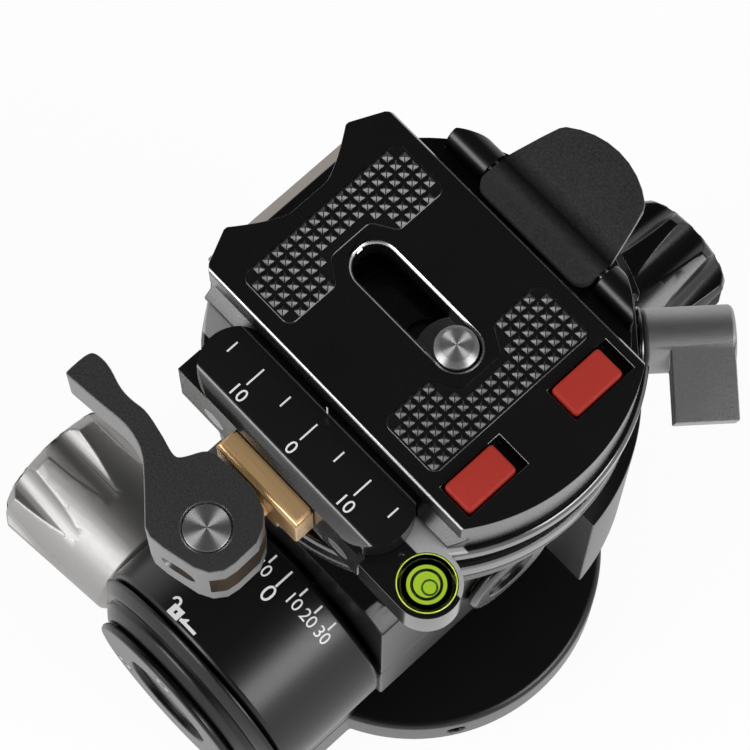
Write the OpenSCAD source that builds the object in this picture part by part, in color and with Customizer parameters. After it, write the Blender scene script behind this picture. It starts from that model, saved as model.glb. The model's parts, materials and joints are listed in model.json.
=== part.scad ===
// Geared tripod head: worm-driven tilt and roll under a panning quick-release clamp.
// Millimetres. The origin is the centre of the base's lower face and +Z is the pan axis.
// +X runs along the clamp's jaws and +Y across them. The tilt axis is Y, the roll axis X.

/* [Base] */
// Radius of the base disc
base_r = 33; // [32:0.5:37]
// Height of the base disc
base_h = 10; // [9:0.5:11.5]
// Wall radius of the 3/8 inch tripod thread at its drill size
thread_r = 4; // [3.8:0.05:4.5]
// Outer radius of the thread bush
bush_r = 7; // [6.5:0.5:9]
// Thickness of the rubber base pad
base_pad_t = 1; // [0.6:0.1:2]
// Width of the foot under the tilt drum
foot_w = 30; // [26:1:36]

/* [Gear stages] */
// Height of the tilt and roll axes above the base's lower face
axis_h = 52; // [50:0.5:60]
// Teeth on each worm wheel
gear_teeth = 30; // [26:1:34]
// Pitch radius of each worm wheel
wheel_r = 9.3; // [9:0.1:9.8]
// Width of the wheels' teeth
wheel_w = 4; // [3:0.5:5]
// Outer radius of the worm threads
worm_r = 3.7; // [3.5:0.1:3.9]
// Radius of the worm shafts
worm_shaft_r = 2.7; // [2.4:0.1:2.9]
// Radius of the trunnions and the roll shaft
shaft_r = 5; // [4.5:0.1:5.5]
// Wall of the bronze bushes
bush_wall = 2; // [1.5:0.1:2.3]
// Outer radius of the worm bearings
bearing_r = 5.2; // [4.8:0.1:5.4]
// Width of the worm bearings
bearing_w = 3; // [2.5:0.25:3.5]

/* [Tilt drum] */
// Radius of the tilt drum
drum_r = 20.8; // [20:0.2:21]
// Distance of the drum's inner face from the pan axis
drum_in = 27.5; // [27:0.5:30]
// Length of the drum
drum_l = 20.7; // [20:0.1:23]
// Distance of the tilt worm from the pan axis
tilt_worm_y = 38.5; // [36.5:0.1:38.6]
// Radius of the neck that leads to the tilt knob
neck_r = 10.8; // [9:0.1:11]
// Width of the release ring
ring_w = 4.6; // [4:0.2:6]

/* [Core block] */
// Width of the core block along X
core_w = 40; // [39:0.5:42]
// Height of the core block above the axes
core_up = 29; // [26:0.5:31]
// Depth of the core block below the axes
core_down = 14; // [12:0.5:15]
// Distance of the right pedestal's inner face from the pan axis
pedestal_in = 21.7; // [21:0.1:23]
// Thickness of the right pedestal
pedestal_t = 6.3; // [5:0.1:7]
// Offset of the roll worm along X
roll_worm_x = 3.5; // [0:0.5:4.5]

/* [Yoke] */
// Radius of the yoke
yoke_r = 32.7; // [32.5:0.1:33.5]
// Height of the yoke disc above the axes
yoke_rise = 46.6; // [46:0.2:52]
// Thickness of the yoke disc
yoke_t = 3; // [2.5:0.25:5]
// Radius of the lug round the roll shaft
lug_r = 13; // [11:0.5:13.5]
// Reach of the lug beyond the yoke's wall
lug_reach = 1.8; // [1:0.1:3.5]

/* [Knobs] */
// Length of the knobs
knob_l = 24; // [20:0.2:25]
// Radius of the roll knob at its inner end
knob_r_in = 10.2; // [9:0.1:10.5]
// Radius of the tilt knob at its inner end
tilt_knob_r_in = 12.4; // [11:0.1:12.6]
// Radius of the tilt knob at its outer end
tilt_knob_r = 14.3; // [13:0.1:15]
// Radius of the roll knob at its outer end
roll_knob_r = 10.8; // [10:0.1:11]
// Distance of the roll knob's inner end from the pan axis
roll_knob_in = 32.2; // [31.4:0.2:34]
// Finger flutes round each knob
flutes = 9; // [7:1:10]
// Radius of a flute
flute_r = 3.4; // [3:0.1:4]
// Radius of a flute of the tilt knob
tilt_flute_r = 4; // [3.4:0.1:4.4]

/* [Pan stage] */
// Radius of the pan rings
pan_r = 31.3; // [31:0.1:32]
// Height of the scale ring
scale_ring_h = 4.9; // [4:0.1:7]
// Height of the turning pan ring
pan_ring_h = 4.4; // [4:0.1:7]
// Radius of the pan axle
axle_r = 9; // [8:0.5:10]

/* [Clamp] */
// Height of the clamp body
clamp_h = 11; // [10.5:0.5:13]
// Radius of the clamp body's rim
clamp_r = 32; // [31.8:0.1:32.6]
// Radius of the wall below the rim
clamp_wall_r = 30.2; // [30:0.1:30.8]
// Distance of the straight rear cut from the pan axis
rear_cut = 30.9; // [30:0.1:31.5]
// Radius of the bubble level
bubble_r = 4.45; // [3.5:0.05:4.6]

/* [Jaws] */
// Length of the scale jaw
jaw_l = 39.3; // [36:0.1:40]
// Height of the jaws above the clamp's deck
jaw_h = 5.3; // [5:0.1:5.6]
// Outer face of the scale jaw, measured from the clamp's middle
jaw_out = 29.2; // [29:0.1:30]
// Width of the brass cam shoe along the jaw
shoe_l = 16.6; // [14:0.2:18]
// Thickness of the brass cam shoe
shoe_t = 3.6; // [3.4:0.1:4]
// Opening travel of the scale jaw
jaw_travel = 1.5; // [1:0.1:1.5]
// Radius of the tie rod
rod_r = 2.5; // [2.2:0.1:2.6]

/* [Clamp lever] */
// Distance of the lever pin from the pan axis
lever_y = 41.8; // [41.7:0.1:43]
// Radius of the lever pin
lever_pin_r = 3.4; // [2.8:0.1:3.5]
// Cam rise: offset of the cam circle from the pin
cam_rise = 2.2; // [1.9:0.05:2.2]
// Length of the lever from its pin to its tip
lever_l = 30.5; // [29:0.5:34]
// Height of the lever's handle
handle_h = 8.5; // [7:0.5:9]

/* [Safety tab] */
// Width of the tab
tab_w = 21.7; // [20:0.1:22.3]
// Reach of the tab from its pin
tab_reach = 13.5; // [11.5:0.1:15]
// Distance of the tab's pin from the clamp's middle
tab_y = 23; // [22.8:0.1:23.4]

/* [Pan lock] */
// Direction of the pan lock lever round the pan axis, in degrees
lock_angle = 50; // [45:1:55]
// Radius of the pan lock's hub
lock_hub_r = 4.75; // [4:0.05:5]
// Length of the pan lock's paddle
paddle_l = 12.5; // [11:0.5:16]
// Width of the pan lock's paddle
paddle_w = 9.6; // [9:0.2:11]

/* [Plate] */
// Width of the plate's top
plate_w = 35.4; // [35:0.1:36.6]
// Width of the dovetail foot
dovetail_w = 38; // [37.8:0.1:38.2]
// Thickness of the plate
plate_t = 9.5; // [9:0.1:11]
// Radius of the plate's nose round the pan axis
nose_r = 31; // [30.5:0.1:32]
// Width of the screw slot
slot_w = 6.7; // [6.6:0.1:7.2]
// Diameter of the 1/4 inch camera screw
screw_d = 6.35; // [6:0.05:6.4]
// Place of the camera screw along the plate
screw_x = 5.95; // [3:0.05:6.5]
// Length of a red button
button_l = 9.1; // [8:0.1:9.4]
// Width of a red button
button_w = 5.2; // [4.5:0.1:5.6]
// Travel of a red button
button_travel = 1.5; // [1:0.1:1.8]

/* [Clearances] */
// Gap between pieces that move past each other
gap = 0.3; // [0.25:0.05:0.4]
// Radial clearance of a running fit
run = 0.04; // [0.03:0.01:0.06]
// Radial clearance of a fixed fit
seat = 0.02; // [0.01:0.01:0.03]

/* [Hidden] */
$fn = 72;
far = 200;                                  // longer than any piece, for cuts
eps = 0.5;                                  // how far a cut runs past a face

// Finishes
gloss_black = [0.06, 0.06, 0.07];
satin_black = [0.10, 0.10, 0.11];
gunmetal = [0.33, 0.33, 0.35];
titanium = [0.52, 0.51, 0.50];
steel = [0.72, 0.72, 0.73];
bronze = [0.62, 0.45, 0.22];
brass_gold = [0.80, 0.62, 0.35];
rubber_black = [0.08, 0.08, 0.08];
signal_red = [0.68, 0.18, 0.14];
lime = [0.72, 0.85, 0.15];

// Gear stages
gear_a = wheel_r + worm_r;                  // wheel axis to worm axis
pitch = 2 * PI * wheel_r / gear_teeth;
tip_h = 0.5;                                // tooth tip above the pitch circle
root_h = 0.6;                               // tooth root below the pitch circle
thread_turns = 6;
thread_l = thread_turns * pitch;
thread_share = 110;                         // degrees of a turn that the thread's crest covers
bush_out = shaft_r + bush_wall;
cavity_r = wheel_r + tip_h + 1.6;           // room round a wheel
tilt_worm_z = axis_h - gear_a;              // the tilt worm runs below its wheel
roll_worm_z = axis_h + gear_a;              // the roll worm runs above its wheel
tail_r = 4.2;                               // radius of the bearing at a worm's inner end
tail_z = thread_l / 2 + 1 + bearing_w;      // inner end of a worm, measured from its middle
front_z = 14;                               // inner face of the bearing nearest the knob
drum_end = -drum_in - drum_l;               // Y of the drum's outer face
neck_reach = drum_r + 0.3;
tilt_knob_in = neck_reach + gap;
cover_t = 2.4;
cover_r = cavity_r + 2.1;
spigot_r = cover_r + 0.7;
lip_t = 1.4;
ring_y = drum_end - gap;                    // Y of the ring's inner face
lip_y = ring_y - ring_w - gap;              // Y of the lip that keeps the ring on
wheel_y = -tilt_worm_y;

// Core block and pedestals
side_gap = 0.7;
core_y0 = -drum_in + side_gap;
core_y1 = pedestal_in - side_gap;
core_round = 33;                            // radius that rounds the block's long edges
trunnion_in = cavity_r + 2.6;               // inner end of the trunnions
roll_bush_l = 6.8;
bush_in = core_w / 2 - roll_bush_l;         // inner end of the roll bushes
pedestal_r = gear_a - worm_shaft_r - 0.8;   // the roll worm's shaft passes over the pedestal

// Yoke
cheek_in = core_w / 2 + 0.5;
yoke_disc_r = yoke_r - 2.7;
yoke_z = axis_h + yoke_rise;
shoulder = [18, 27];                        // where the cheek starts to widen and is widest, above the axes
knob_shoulder = [27, yoke_rise - 1];        // the same on the side that passes the tilt knob
skirt_low = 14;                             // lower edge of the skirt above the axes
skirt_from = 4;                             // near end of the skirt along Y
lug_end = yoke_r + lug_reach;
cap_t = 2;

// Stack of heights up to the plate
scale_z0 = yoke_z + yoke_t;
scale_z1 = scale_z0 + scale_ring_h;
pan_z0 = scale_z1 + gap;
clamp_z0 = pan_z0 + pan_ring_h;
deck = clamp_z0 + clamp_h;
plate_z0 = deck + gap;
top = plate_z0 + plate_t;
axle_head_r = axle_r + 3;
web_t = 2;                                  // clamp floor under the axle's head
rim_t = 3.2;

// Dovetail, as half widths and heights above the plate's lower face
plate_half = plate_w / 2;
dove_half = dovetail_w / 2;
dove_foot = 1;
dove_depth = 2.4;
groove_half = dove_half - dove_depth;
groove_z = dove_foot + dove_depth;
groove_flat = 0.5;
diagonal_gap = gap * sqrt(2);
lip_half = groove_half + gap + 0.1;         // tip of a jaw's lip
flank_z = dove_half + dove_foot + diagonal_gap;
jaw_top = jaw_h - gap;                      // jaw's top above the plate's lower face
jaw_edge = dove_half;                       // inner edge of a jaw's top
jaw_bevel = 2;
fixed_jaw_out = 27.5;

// Scale jaw, shoe, tie rod and lever
stadium_r = (jaw_out - lip_half) / 2;
rod_drop = 4.9;
rod_z = deck - rod_drop;
apron_t = 1.5;
apron_in = jaw_out - apron_t;
clamp_flat = apron_in - 0.4;                // straight side of the clamp body behind the apron
apron_low = 8.9;                            // apron's depth below the plate's lower face
apron_x = [-20, 17];
bar_in = 25;                                // inner face of the straight bar under the jaw
bar_h = 2.5;
shoe_low = 6;
shoe_high = 2.1;
shoe_out = jaw_out + shoe_t;
guide_x = 13;
guide_r = 2;
spring_r = 2.95;
spring_wire = 0.4;
spring_turns = 4;
spring_hole_r = 3.6;
spring_in = 20.5;
fork_gap = 6.6;
ear_top = 4.4;
ear_low = 3.5;
eye_r = 4.2;
lever_top = rod_z + fork_gap / 2 + ear_top;
lever_low = rod_z - fork_gap / 2 - ear_low;
cam_top = lever_y - shoe_out - gap - 0.1;   // the lever's reach towards the shoe
cam_r = cam_top - cam_rise;
hub_r = 5.7;
window_w = 5.6;
window_h = 4;

// Safety tab and fixed jaw humps
tab_z = top - 2.3;
knuckle_r = 1.8;
tab_pin_r = 1;
tab_in = 4.6;                               // reach of the tab towards the plate
hump_r = 2.4;
hump_w = 7.6;
jaw_round = clamp_r - 3.1;                  // radius that rounds the fixed jaw and its humps
pin_half = sqrt(pow(jaw_round, 2) - pow(tab_y + tab_pin_r + 0.4, 2)) - 0.2;
tab_gap = 0.5;
tab_x0 = 0.9 - tab_w / 2;

// Pan lock
lock_z = deck - clamp_h / 2;
boss_out = clamp_wall_r - 0.1;              // flat face that the lock's washer runs on
lock_in = boss_out + gap;
lock_washer_t = 0.7;
stud_r = 2.5;
stud_in = 20;
boss_r = lock_hub_r + 0.3;
hub_in = lock_in + lock_washer_t + 0.1;
hub_l = 13.3;
hub_out = hub_in + hub_l;

// Bubble level
bubble_x = 26.05;
bubble_y = -24.35;
bubble_h = 6;
lobe_r = bubble_r + 0.7;
lobe_h = 7.5;
flange_x = apron_x[1] + 2 * gap;            // the deck's side flange runs from here to the lobe
vial_wall = 0.6;

// Plate details
ear_x = -29;
ear_y = 12;
ear_tip = 0.6;
ear_sweep = 1.3;                            // how the edge curves from the waist to the ear
waist_x = -24.45;
waist_y = 3.4;
corner_x = -25.9;
corner_cut = 0.8;
pad_sink = 0.8;
pad_rise = 0.6;
pad_half = 15.1;
pad_waist = 4.6;
pad_corner = 1.4;
rear_pad_x = [-22.1, -12, -15.7];           // rear edge, front edge, edge inside the waist
front_pad_x = [17.4, 6.9, 10.95];           // front edge, rear edge, edge inside the waist
slot_rear = -13.8;                          // rear end of the slot
slot_front = screw_x + slot_w / 2 + 0.2;
slot_lip = 4.2;                             // thickness of the plate beside the slot
washer_r = 6;
washer_t = 1;
screw_rise = 1;
screw_head_r = 5.6;
screw_head_t = 3;
recess_half = washer_r + gap;
button_x = 22.05;
button_rise = 0.9;
button_sink = 3.2;
left_button_y = [-15.3, -15.3 + button_l];
right_button_y = [5.1, 5.1 + button_l];
pocket_floor = top - button_sink - gap;

// Cylinders along the three axes, from one coordinate to another
module rod_x(a, b, r) { translate([a, 0, 0]) rotate([0, 90, 0]) cylinder(r = r, h = b - a); }
module rod_y(a, b, r) { translate([0, a, 0]) rotate([-90, 0, 0]) cylinder(r = r, h = b - a); }
module rod_z(a, b, r) { translate([0, 0, a]) cylinder(r = r, h = b - a); }
module block(low, high) { translate(low) cube(high - low); }
module at_axis() { translate([0, 0, axis_h]) children(); }
module at_tilt_worm() { translate([0, wheel_y, tilt_worm_z]) children(); }
module at_roll_worm() { translate([roll_worm_x, 0, roll_worm_z]) children(); }

// A disc with small chamfers on both edges
module edged_disc(r, h, c) {
    rotate_extrude() polygon([[0, 0], [r - c, 0], [r, c], [r, h - c], [r - c, h], [0, h]]);
}

// A cap screw that points down, its head's top at z = 0
module cap_screw(r, l, head_r, head_t) {
    socket_r = 0.55 * head_r;
    difference() {
        union() {
            rod_z(-head_t, 0, head_r);
            rod_z(-l, -head_t, r);
        }
        translate([0, 0, -0.6 * head_t]) cylinder(r = socket_r, h = head_t, $fn = 6);
    }
}
module screw_hole(r, l, head_r, head_t) {
    rod_z(-head_t, far, head_r + seat);
    rod_z(-l - eps, -head_t + eps, r + seat);
}

// Worm wheel with a tooth space at the angle ref
module wheel_teeth(ref) {
    step = 360 / gear_teeth;
    root = wheel_r - root_h;
    tip = wheel_r + tip_h;
    root_share = 0.22;
    tip_share = 0.13;
    points = [for (i = [0 : gear_teeth - 1]) let (a = ref + (i + 0.5) * step)
        each [[root, a - root_share * step], [tip, a - tip_share * step],
              [tip, a + tip_share * step], [root, a + root_share * step]]];
    polygon([for (p = points) [p[0] * cos(p[1]), p[0] * sin(p[1])]]);
}
module worm_wheel(ref) {
    translate([0, 0, -wheel_w / 2]) difference() {
        union() {
            linear_extrude(wheel_w) wheel_teeth(ref);
            rod_z(-1.5, wheel_w + 1.5, shaft_r + 2.2);
        }
        rod_z(-far, far, shaft_r + seat);
    }
}

// Worm along +Z with its thread's middle at z = 0, the thread facing the angle ref there
module worm(ref, knob_z) {
    crest = [for (a = [-thread_share / 2 : thread_share / 6 : thread_share / 2])
        [worm_r * cos(ref + a), worm_r * sin(ref + a)]];
    rod_z(-tail_z, knob_z + knob_bore, worm_shaft_r);
    linear_extrude(height = thread_l, twist = -360 * thread_turns, slices = 12 * thread_turns,
        center = true, $fn = 6)
        polygon(concat([[0, 0]], crest));
}
module worm_bearing(z, r) {
    difference() {
        rod_z(z, z + bearing_w, r - seat);
        rod_z(-far, far, worm_shaft_r + run);
    }
}
module worm_bearing_pair() {
    worm_bearing(-tail_z, tail_r);
    worm_bearing(front_z, bearing_r);
}
module worm_tunnel(open_end) {
    rod_z(-tail_z - gap, 0, tail_r);
    rod_z(bearing_w - tail_z, open_end, bearing_r);
}

// Fluted knob along +Z, its inner face at z = 0; each flute deepens towards the outer end
module fluted_knob(r_in, r_out, flute_r) {
    rim = 2.2;
    flute_from = 0.38 * knob_l;
    start_r = r_in + (r_out - r_in) * flute_from / (knob_l - rim);
    lean = atan((start_r - r_out + flute_depth) / (knob_l - flute_from));
    difference() {
        rotate_extrude() polygon([[0, 0], [r_in - 1, 0], [r_in, 1], [r_out, knob_l - rim],
            [r_out - 0.5 * rim, knob_l - 0.3 * rim], [r_out - rim, knob_l], [0, knob_l]]);
        for (i = [0 : flutes - 1]) rotate([0, 0, i * 360 / flutes])
            translate([start_r + flute_r, 0, flute_from]) rotate([0, -lean, 0])
                cylinder(r = flute_r, h = knob_l);
        rod_z(-eps, knob_bore + gap, worm_shaft_r + seat);
        rod_z(knob_l - cap_t, far, knob_cap_r + seat);
        rod_z(0, far, knob_screw_r + seat);
    }
}
flute_depth = 2.2;
knob_bore = 0.72 * knob_l;                  // how far the worm's shaft reaches into its knob
knob_cap_r = 6.5;
knob_screw_r = 1.5;
knob_screw_head_r = 3;
knob_screw_head_t = 1.2;
knob_screw_l = 5;
module knob_cap() {
    difference() {
        translate([0, 0, knob_l - cap_t]) edged_disc(knob_cap_r, cap_t, 0.4);
        rod_z(knob_l - knob_screw_head_t, far, knob_screw_head_r + seat);
        rod_z(0, far, knob_screw_r + seat);
    }
}
module knob_screw() {
    translate([0, 0, knob_l])
        cap_screw(knob_screw_r, knob_screw_l, knob_screw_head_r, knob_screw_head_t);
}

// Places of the fasteners in the base
drum_screw_x = foot_w / 2 - 6;
drum_screw_in = [6, 15.5];                  // distances from the drum's inner face
drum_screws = [for (s = [-1, 1], d = drum_screw_in) [s * drum_screw_x, -drum_in - d]];
pedestal_screw_x = pedestal_r - 1;
pedestal_mid = pedestal_in + pedestal_t / 2;
base_screws = concat(drum_screws, [for (x = [-1, 1]) [x * pedestal_screw_x, pedestal_mid]]);
base_screw_r = 1.6;
base_screw_head_r = 2.9;
base_screw_head_t = 3;
base_screw_grip = 5;                        // screw length above the base
base_screw_l = base_h + base_screw_grip;
module at_base_screws() { for (p = base_screws) translate(p) rotate([180, 0, 0]) children(); }
grub_r = 1.5;
grub_l = 8;
grub_socket = 2;
pad_ring = [18, base_r - 6];
foot_y = drum_end + 1.5;

module base_disc() {
    color(gloss_black) difference() {
        union() {
            edged_disc(base_r, base_h, 0.8);
            block([-foot_w / 2, foot_y, 0], [foot_w / 2, 0, base_h]);
        }
        rod_z(-eps, far, bush_r + seat);
        difference() {
            rod_z(-eps, base_pad_t, pad_ring[1] + seat);
            rod_z(-far, far, pad_ring[0] - seat);
        }
        at_base_screws() translate([0, 0, -base_pad_t])
            screw_hole(base_screw_r, base_screw_l, base_screw_head_r, base_screw_head_t);
        for (i = [0 : 2]) rotate([0, 0, 90 + 120 * i]) translate([0, 0, base_h / 2])
            rod_x(bush_r - eps, far, grub_r + seat);
    }
}

module tripod_bush() {
    color(steel) difference() {
        edged_disc(bush_r, base_h, 0.4);
        rod_z(-eps, far, thread_r);
    }
}

module base_pad() {
    color(rubber_black) difference() {
        rod_z(0, base_pad_t, pad_ring[1]);
        rod_z(-eps, far, pad_ring[0]);
        at_base_screws() rod_z(-far, far, base_screw_head_r + seat);
    }
}

module bush_grub_screws() {
    color(steel) for (i = [0 : 2]) rotate([0, 0, 90 + 120 * i]) translate([0, 0, base_h / 2])
        difference() {
            rod_x(bush_r + gap, bush_r + grub_l, grub_r);
            translate([bush_r + grub_l - grub_socket, 0, 0]) rotate([0, 90, 0])
                cylinder(r = 0.55 * grub_r, h = far, $fn = 6);
        }
}

module pedestal_screws() {
    color(steel) at_base_screws() translate([0, 0, -base_pad_t])
        cap_screw(base_screw_r, base_screw_l - 1, base_screw_head_r, base_screw_head_t);
}

// Drum with its pedestal and the neck towards the tilt knob
module tilt_housing() {
    color(gloss_black) difference() {
        union() {
            at_axis() translate([0, -drum_in, 0]) rotate([90, 0, 0]) edged_disc(drum_r, drum_l, 0.8);
            block([-foot_w / 2, foot_y, base_h], [foot_w / 2, -drum_in, axis_h]);
            intersection() {
                at_tilt_worm() rod_x(-neck_reach, 0, neck_r);
                block([-far, drum_end, 0], [far, -drum_in, far]);
            }
        }
        at_axis() rod_y(drum_end + cover_t - eps, wheel_y + wheel_w, cavity_r);
        at_axis() rod_y(drum_end - eps, drum_end + cover_t, cover_r + seat);
        at_axis() rod_y(wheel_y, -drum_in + eps, bush_out + seat);
        at_tilt_worm() rotate([0, -90, 0]) worm_tunnel(far);
        at_base_screws() screw_hole(base_screw_r, base_screw_l, base_screw_head_r, base_screw_head_t);
        at_axis() at_cover_screws() rod_z(-cover_screw_l - eps, 0, cover_screw_r + seat);
    }
}

cover_screw_r = 0.8;
cover_screw_l = 12;
cover_screw_head_r = 1.5;
cover_screw_head_t = 1.2;
module at_cover_screws() {
    for (i = [0 : 2]) rotate([0, 120 * i - 90, 0]) translate([cavity_r + 0.95, lip_y - lip_t, 0])
        rotate([90, 0, 0]) children();
}

// Cover of the drum; the release ring turns on its spigot
module tilt_cover() {
    color(gloss_black) at_axis() difference() {
        union() {
            rod_y(drum_end, drum_end + cover_t, cover_r);
            rod_y(lip_y, drum_end, spigot_r);
            translate([0, lip_y, 0]) rotate([90, 0, 0]) edged_disc(spigot_r + 1.8, lip_t, 0.4);
        }
        at_cover_screws() screw_hole(cover_screw_r, cover_screw_l, cover_screw_head_r, cover_screw_head_t);
        translate([0, lip_y - lip_t, 0]) rod_y(-eps, 1, cavity_r - 3);
    }
}

module cover_screws() {
    color(steel) at_axis() at_cover_screws()
        cap_screw(cover_screw_r, cover_screw_l, cover_screw_head_r, cover_screw_head_t);
}

// Release ring: a cone that closes the drum, with one round groove to grip
module tilt_release_ring() {
    band = 0.6;
    groove = 0.5;
    end_r = spigot_r + 1.8;
    mid_r = (drum_r + end_r) / 2;
    mid_w = (band + ring_w) / 2;
    color(satin_black) at_axis() translate([0, ring_y, 0]) rotate([90, 0, 0]) rotate_extrude()
        polygon([[spigot_r + run, 0], [drum_r, 0], [drum_r, band], [mid_r + groove, mid_w - groove],
            [mid_r - groove, mid_w - groove], [mid_r - groove, mid_w + groove],
            [end_r, ring_w], [spigot_r + run, ring_w]]);
}

module right_pedestal() {
    half = pedestal_r;
    color(gloss_black) difference() {
        union() {
            at_axis() rod_y(pedestal_in, pedestal_in + pedestal_t, pedestal_r);
            block([-half, pedestal_in, base_h], [half, pedestal_in + pedestal_t, axis_h]);
            block([-half - 2.5, pedestal_in, base_h],
                [half + 2.5, pedestal_in + pedestal_t, base_h + base_screw_grip]);
        }
        at_axis() rod_y(0, far, bush_out + seat);
        at_base_screws() screw_hole(base_screw_r, base_screw_l, base_screw_head_r, base_screw_head_t);
    }
}

module bush_y(a, b) {
    difference() {
        rod_y(a, b, bush_out);
        rod_y(-far, far, shaft_r + run);
    }
}
module tilt_bushes() {
    color(bronze) at_axis() {
        bush_y(wheel_y + wheel_w + gap, -drum_in - gap);
        bush_y(pedestal_in + 0.2, pedestal_in + pedestal_t - 0.2);
    }
}

module tilt_worm_bearings() { color(steel) at_tilt_worm() rotate([0, -90, 0]) worm_bearing_pair(); }
module tilt_worm() { color(steel) at_tilt_worm() rotate([0, -90, 0]) worm(0, tilt_knob_in); }
module at_tilt_knob() { at_tilt_worm() rotate([0, -90, 0]) translate([0, 0, tilt_knob_in]) children(); }
module tilt_knob() { color(titanium) at_tilt_knob() fluted_knob(tilt_knob_r_in, tilt_knob_r, tilt_flute_r); }
module tilt_knob_cap() { color(gunmetal) at_tilt_knob() knob_cap(); }
module tilt_knob_screw() { color(steel) at_tilt_knob() knob_screw(); }

// The core block carries the trunnions and the roll worm; it is split at the axes
core_screw_x = core_w / 2 - 4.5;
core_screw_at = [for (s = [-1, 1], y = [core_y0 + 6, core_y1 - 5]) [s * core_screw_x, y]];
core_screw_r = 1.6;
core_screw_head_r = 2.9;
core_screw_head_t = 3;
core_screw_sink = 4;
core_screw_l = core_up - core_screw_sink + 7;
module at_core_screws() {
    for (p = core_screw_at) translate([p[0], p[1], axis_h + core_up - core_screw_sink]) children();
}
module core_hollows() {
    at_axis() {
        rod_x(-far, -bush_in, bush_out + seat);
        rod_x(bush_in, far, bush_out + seat);
        rod_x(-bush_in - eps, bush_in + eps, shaft_r + 0.6);
        rod_x(roll_worm_x - wheel_w / 2 - 2, roll_worm_x + wheel_w / 2 + 2, cavity_r);
        rod_y(-far, -trunnion_in, shaft_r + seat);
        rod_y(trunnion_in, far, shaft_r + seat);
    }
    at_roll_worm() rotate([-90, 0, 0]) worm_tunnel(far);
    at_core_screws() screw_hole(core_screw_r, core_screw_l, core_screw_head_r, core_screw_head_t);
}
module core_half(z0, z1) {
    difference() {
        intersection() {
            block([-core_w / 2, core_y0, axis_h + z0], [core_w / 2, core_y1, axis_h + z1]);
            at_axis() rod_y(-far, far, core_round);
        }
        core_hollows();
    }
}
module core_lower() { color(satin_black) core_half(-core_down, 0); }
module core_upper() { color(satin_black) core_half(0, core_up); }
module core_screws() {
    color(steel) at_core_screws()
        cap_screw(core_screw_r, core_screw_l - eps, core_screw_head_r, core_screw_head_t);
}

module tilt_trunnions() {
    color(steel) at_axis() {
        rod_y(drum_end + cover_t + 0.4, -trunnion_in - 0.2, shaft_r);
        rod_y(trunnion_in + 0.2, pedestal_in + pedestal_t + 1, shaft_r);
    }
}
module tilt_wheel() {
    color(bronze) at_axis() translate([0, wheel_y, 0]) rotate([-90, 0, 0]) worm_wheel(90);
}

module roll_bushes() {
    color(bronze) at_axis() for (s = [-1, 1]) scale([s, 1, 1]) difference() {
        rod_x(bush_in, core_w / 2, bush_out);
        rod_x(-far, far, shaft_r + run);
    }
}
module roll_worm_bearings() { color(steel) at_roll_worm() rotate([-90, 0, 0]) worm_bearing_pair(); }
module roll_worm() { color(steel) at_roll_worm() rotate([-90, 0, 0]) worm(90, roll_knob_in); }
module at_roll_knob() { at_roll_worm() rotate([-90, 0, 0]) translate([0, 0, roll_knob_in]) children(); }
module roll_knob() { color(gloss_black) at_roll_knob() fluted_knob(knob_r_in, roll_knob_r, flute_r); }
module roll_knob_cap() { color(gunmetal) at_roll_knob() knob_cap(); }
module roll_knob_screw() { color(steel) at_roll_knob() knob_screw(); }

// Yoke: a disc on one long cheek whose lug holds the roll shaft; a skirt closes the other side
cheek_chord = sqrt(yoke_r * yoke_r - cheek_in * cheek_in);
arm_screw_y = 7.5;
skirt_screw_y = [8, 15];
function cheek_mid(y) = (cheek_in + sqrt(yoke_disc_r * yoke_disc_r - y * y)) / 2;
cheek_screw_at = concat([for (s = [-1, 1]) [-cheek_mid(arm_screw_y), s * arm_screw_y]],
    [for (y = skirt_screw_y) [cheek_mid(y), y]]);
cheek_screw_r = 1.6;
cheek_screw_l = 12;
cheek_screw_head_r = 2.5;
cheek_screw_head_t = 1.8;
module at_cheek_screws() { for (p = cheek_screw_at) translate([p[0], p[1], yoke_z + yoke_t]) children(); }
module cheek_screw_holes() {
    at_cheek_screws() screw_hole(cheek_screw_r, cheek_screw_l, cheek_screw_head_r, cheek_screw_head_t);
}
module yoke_disc() {
    color(gloss_black) difference() {
        rod_z(yoke_z, yoke_z + yoke_t, yoke_disc_r);
        rod_z(0, far, axle_r + seat);
        cheek_screw_holes();
    }
}
module cheek_outline() {
    polygon([[lug_r, 0], [lug_r, knob_shoulder[0]], [cheek_chord, knob_shoulder[1]], [cheek_chord, yoke_rise],
        [-cheek_chord, yoke_rise], [-cheek_chord, shoulder[1]], [-lug_r, shoulder[0]], [-lug_r, 0]]);
}
module yoke_cheek_left() {
    color(gloss_black) difference() {
        rotate([0, 0, 180]) {
            intersection() {
                rod_z(0, far, yoke_r);
                at_axis() translate([cheek_in, 0, 0]) rotate([90, 0, 90]) linear_extrude(far) cheek_outline();
            }
            at_axis() translate([cheek_in, 0, 0]) rotate([0, 90, 0]) edged_disc(lug_r, lug_end - cheek_in, 1);
        }
        at_axis() rod_x(-far, 0, shaft_r + seat);
        cheek_screw_holes();
    }
}
module yoke_cheek_right() {
    color(gloss_black) difference() {
        intersection() {
            rod_z(axis_h + skirt_low, yoke_z, yoke_r);
            block([cheek_in, skirt_from, 0], [far, far, far]);
        }
        cheek_screw_holes();
    }
}
module cheek_screws() {
    color(steel) at_cheek_screws()
        cap_screw(cheek_screw_r, cheek_screw_l - eps, cheek_screw_head_r, cheek_screw_head_t);
}
module roll_shaft() { color(steel) at_axis() rod_x(-lug_end, core_w / 2 + gap, shaft_r); }
module roll_wheel() {
    color(bronze) at_axis() translate([roll_worm_x, 0, 0]) rotate([0, 90, 0]) worm_wheel(180);
}
module shaft_cap(r) {
    difference() {
        edged_disc(r, cap_t, 0.6);
        rod_z(cap_t / 2, far, shaft_r);
    }
}
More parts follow.
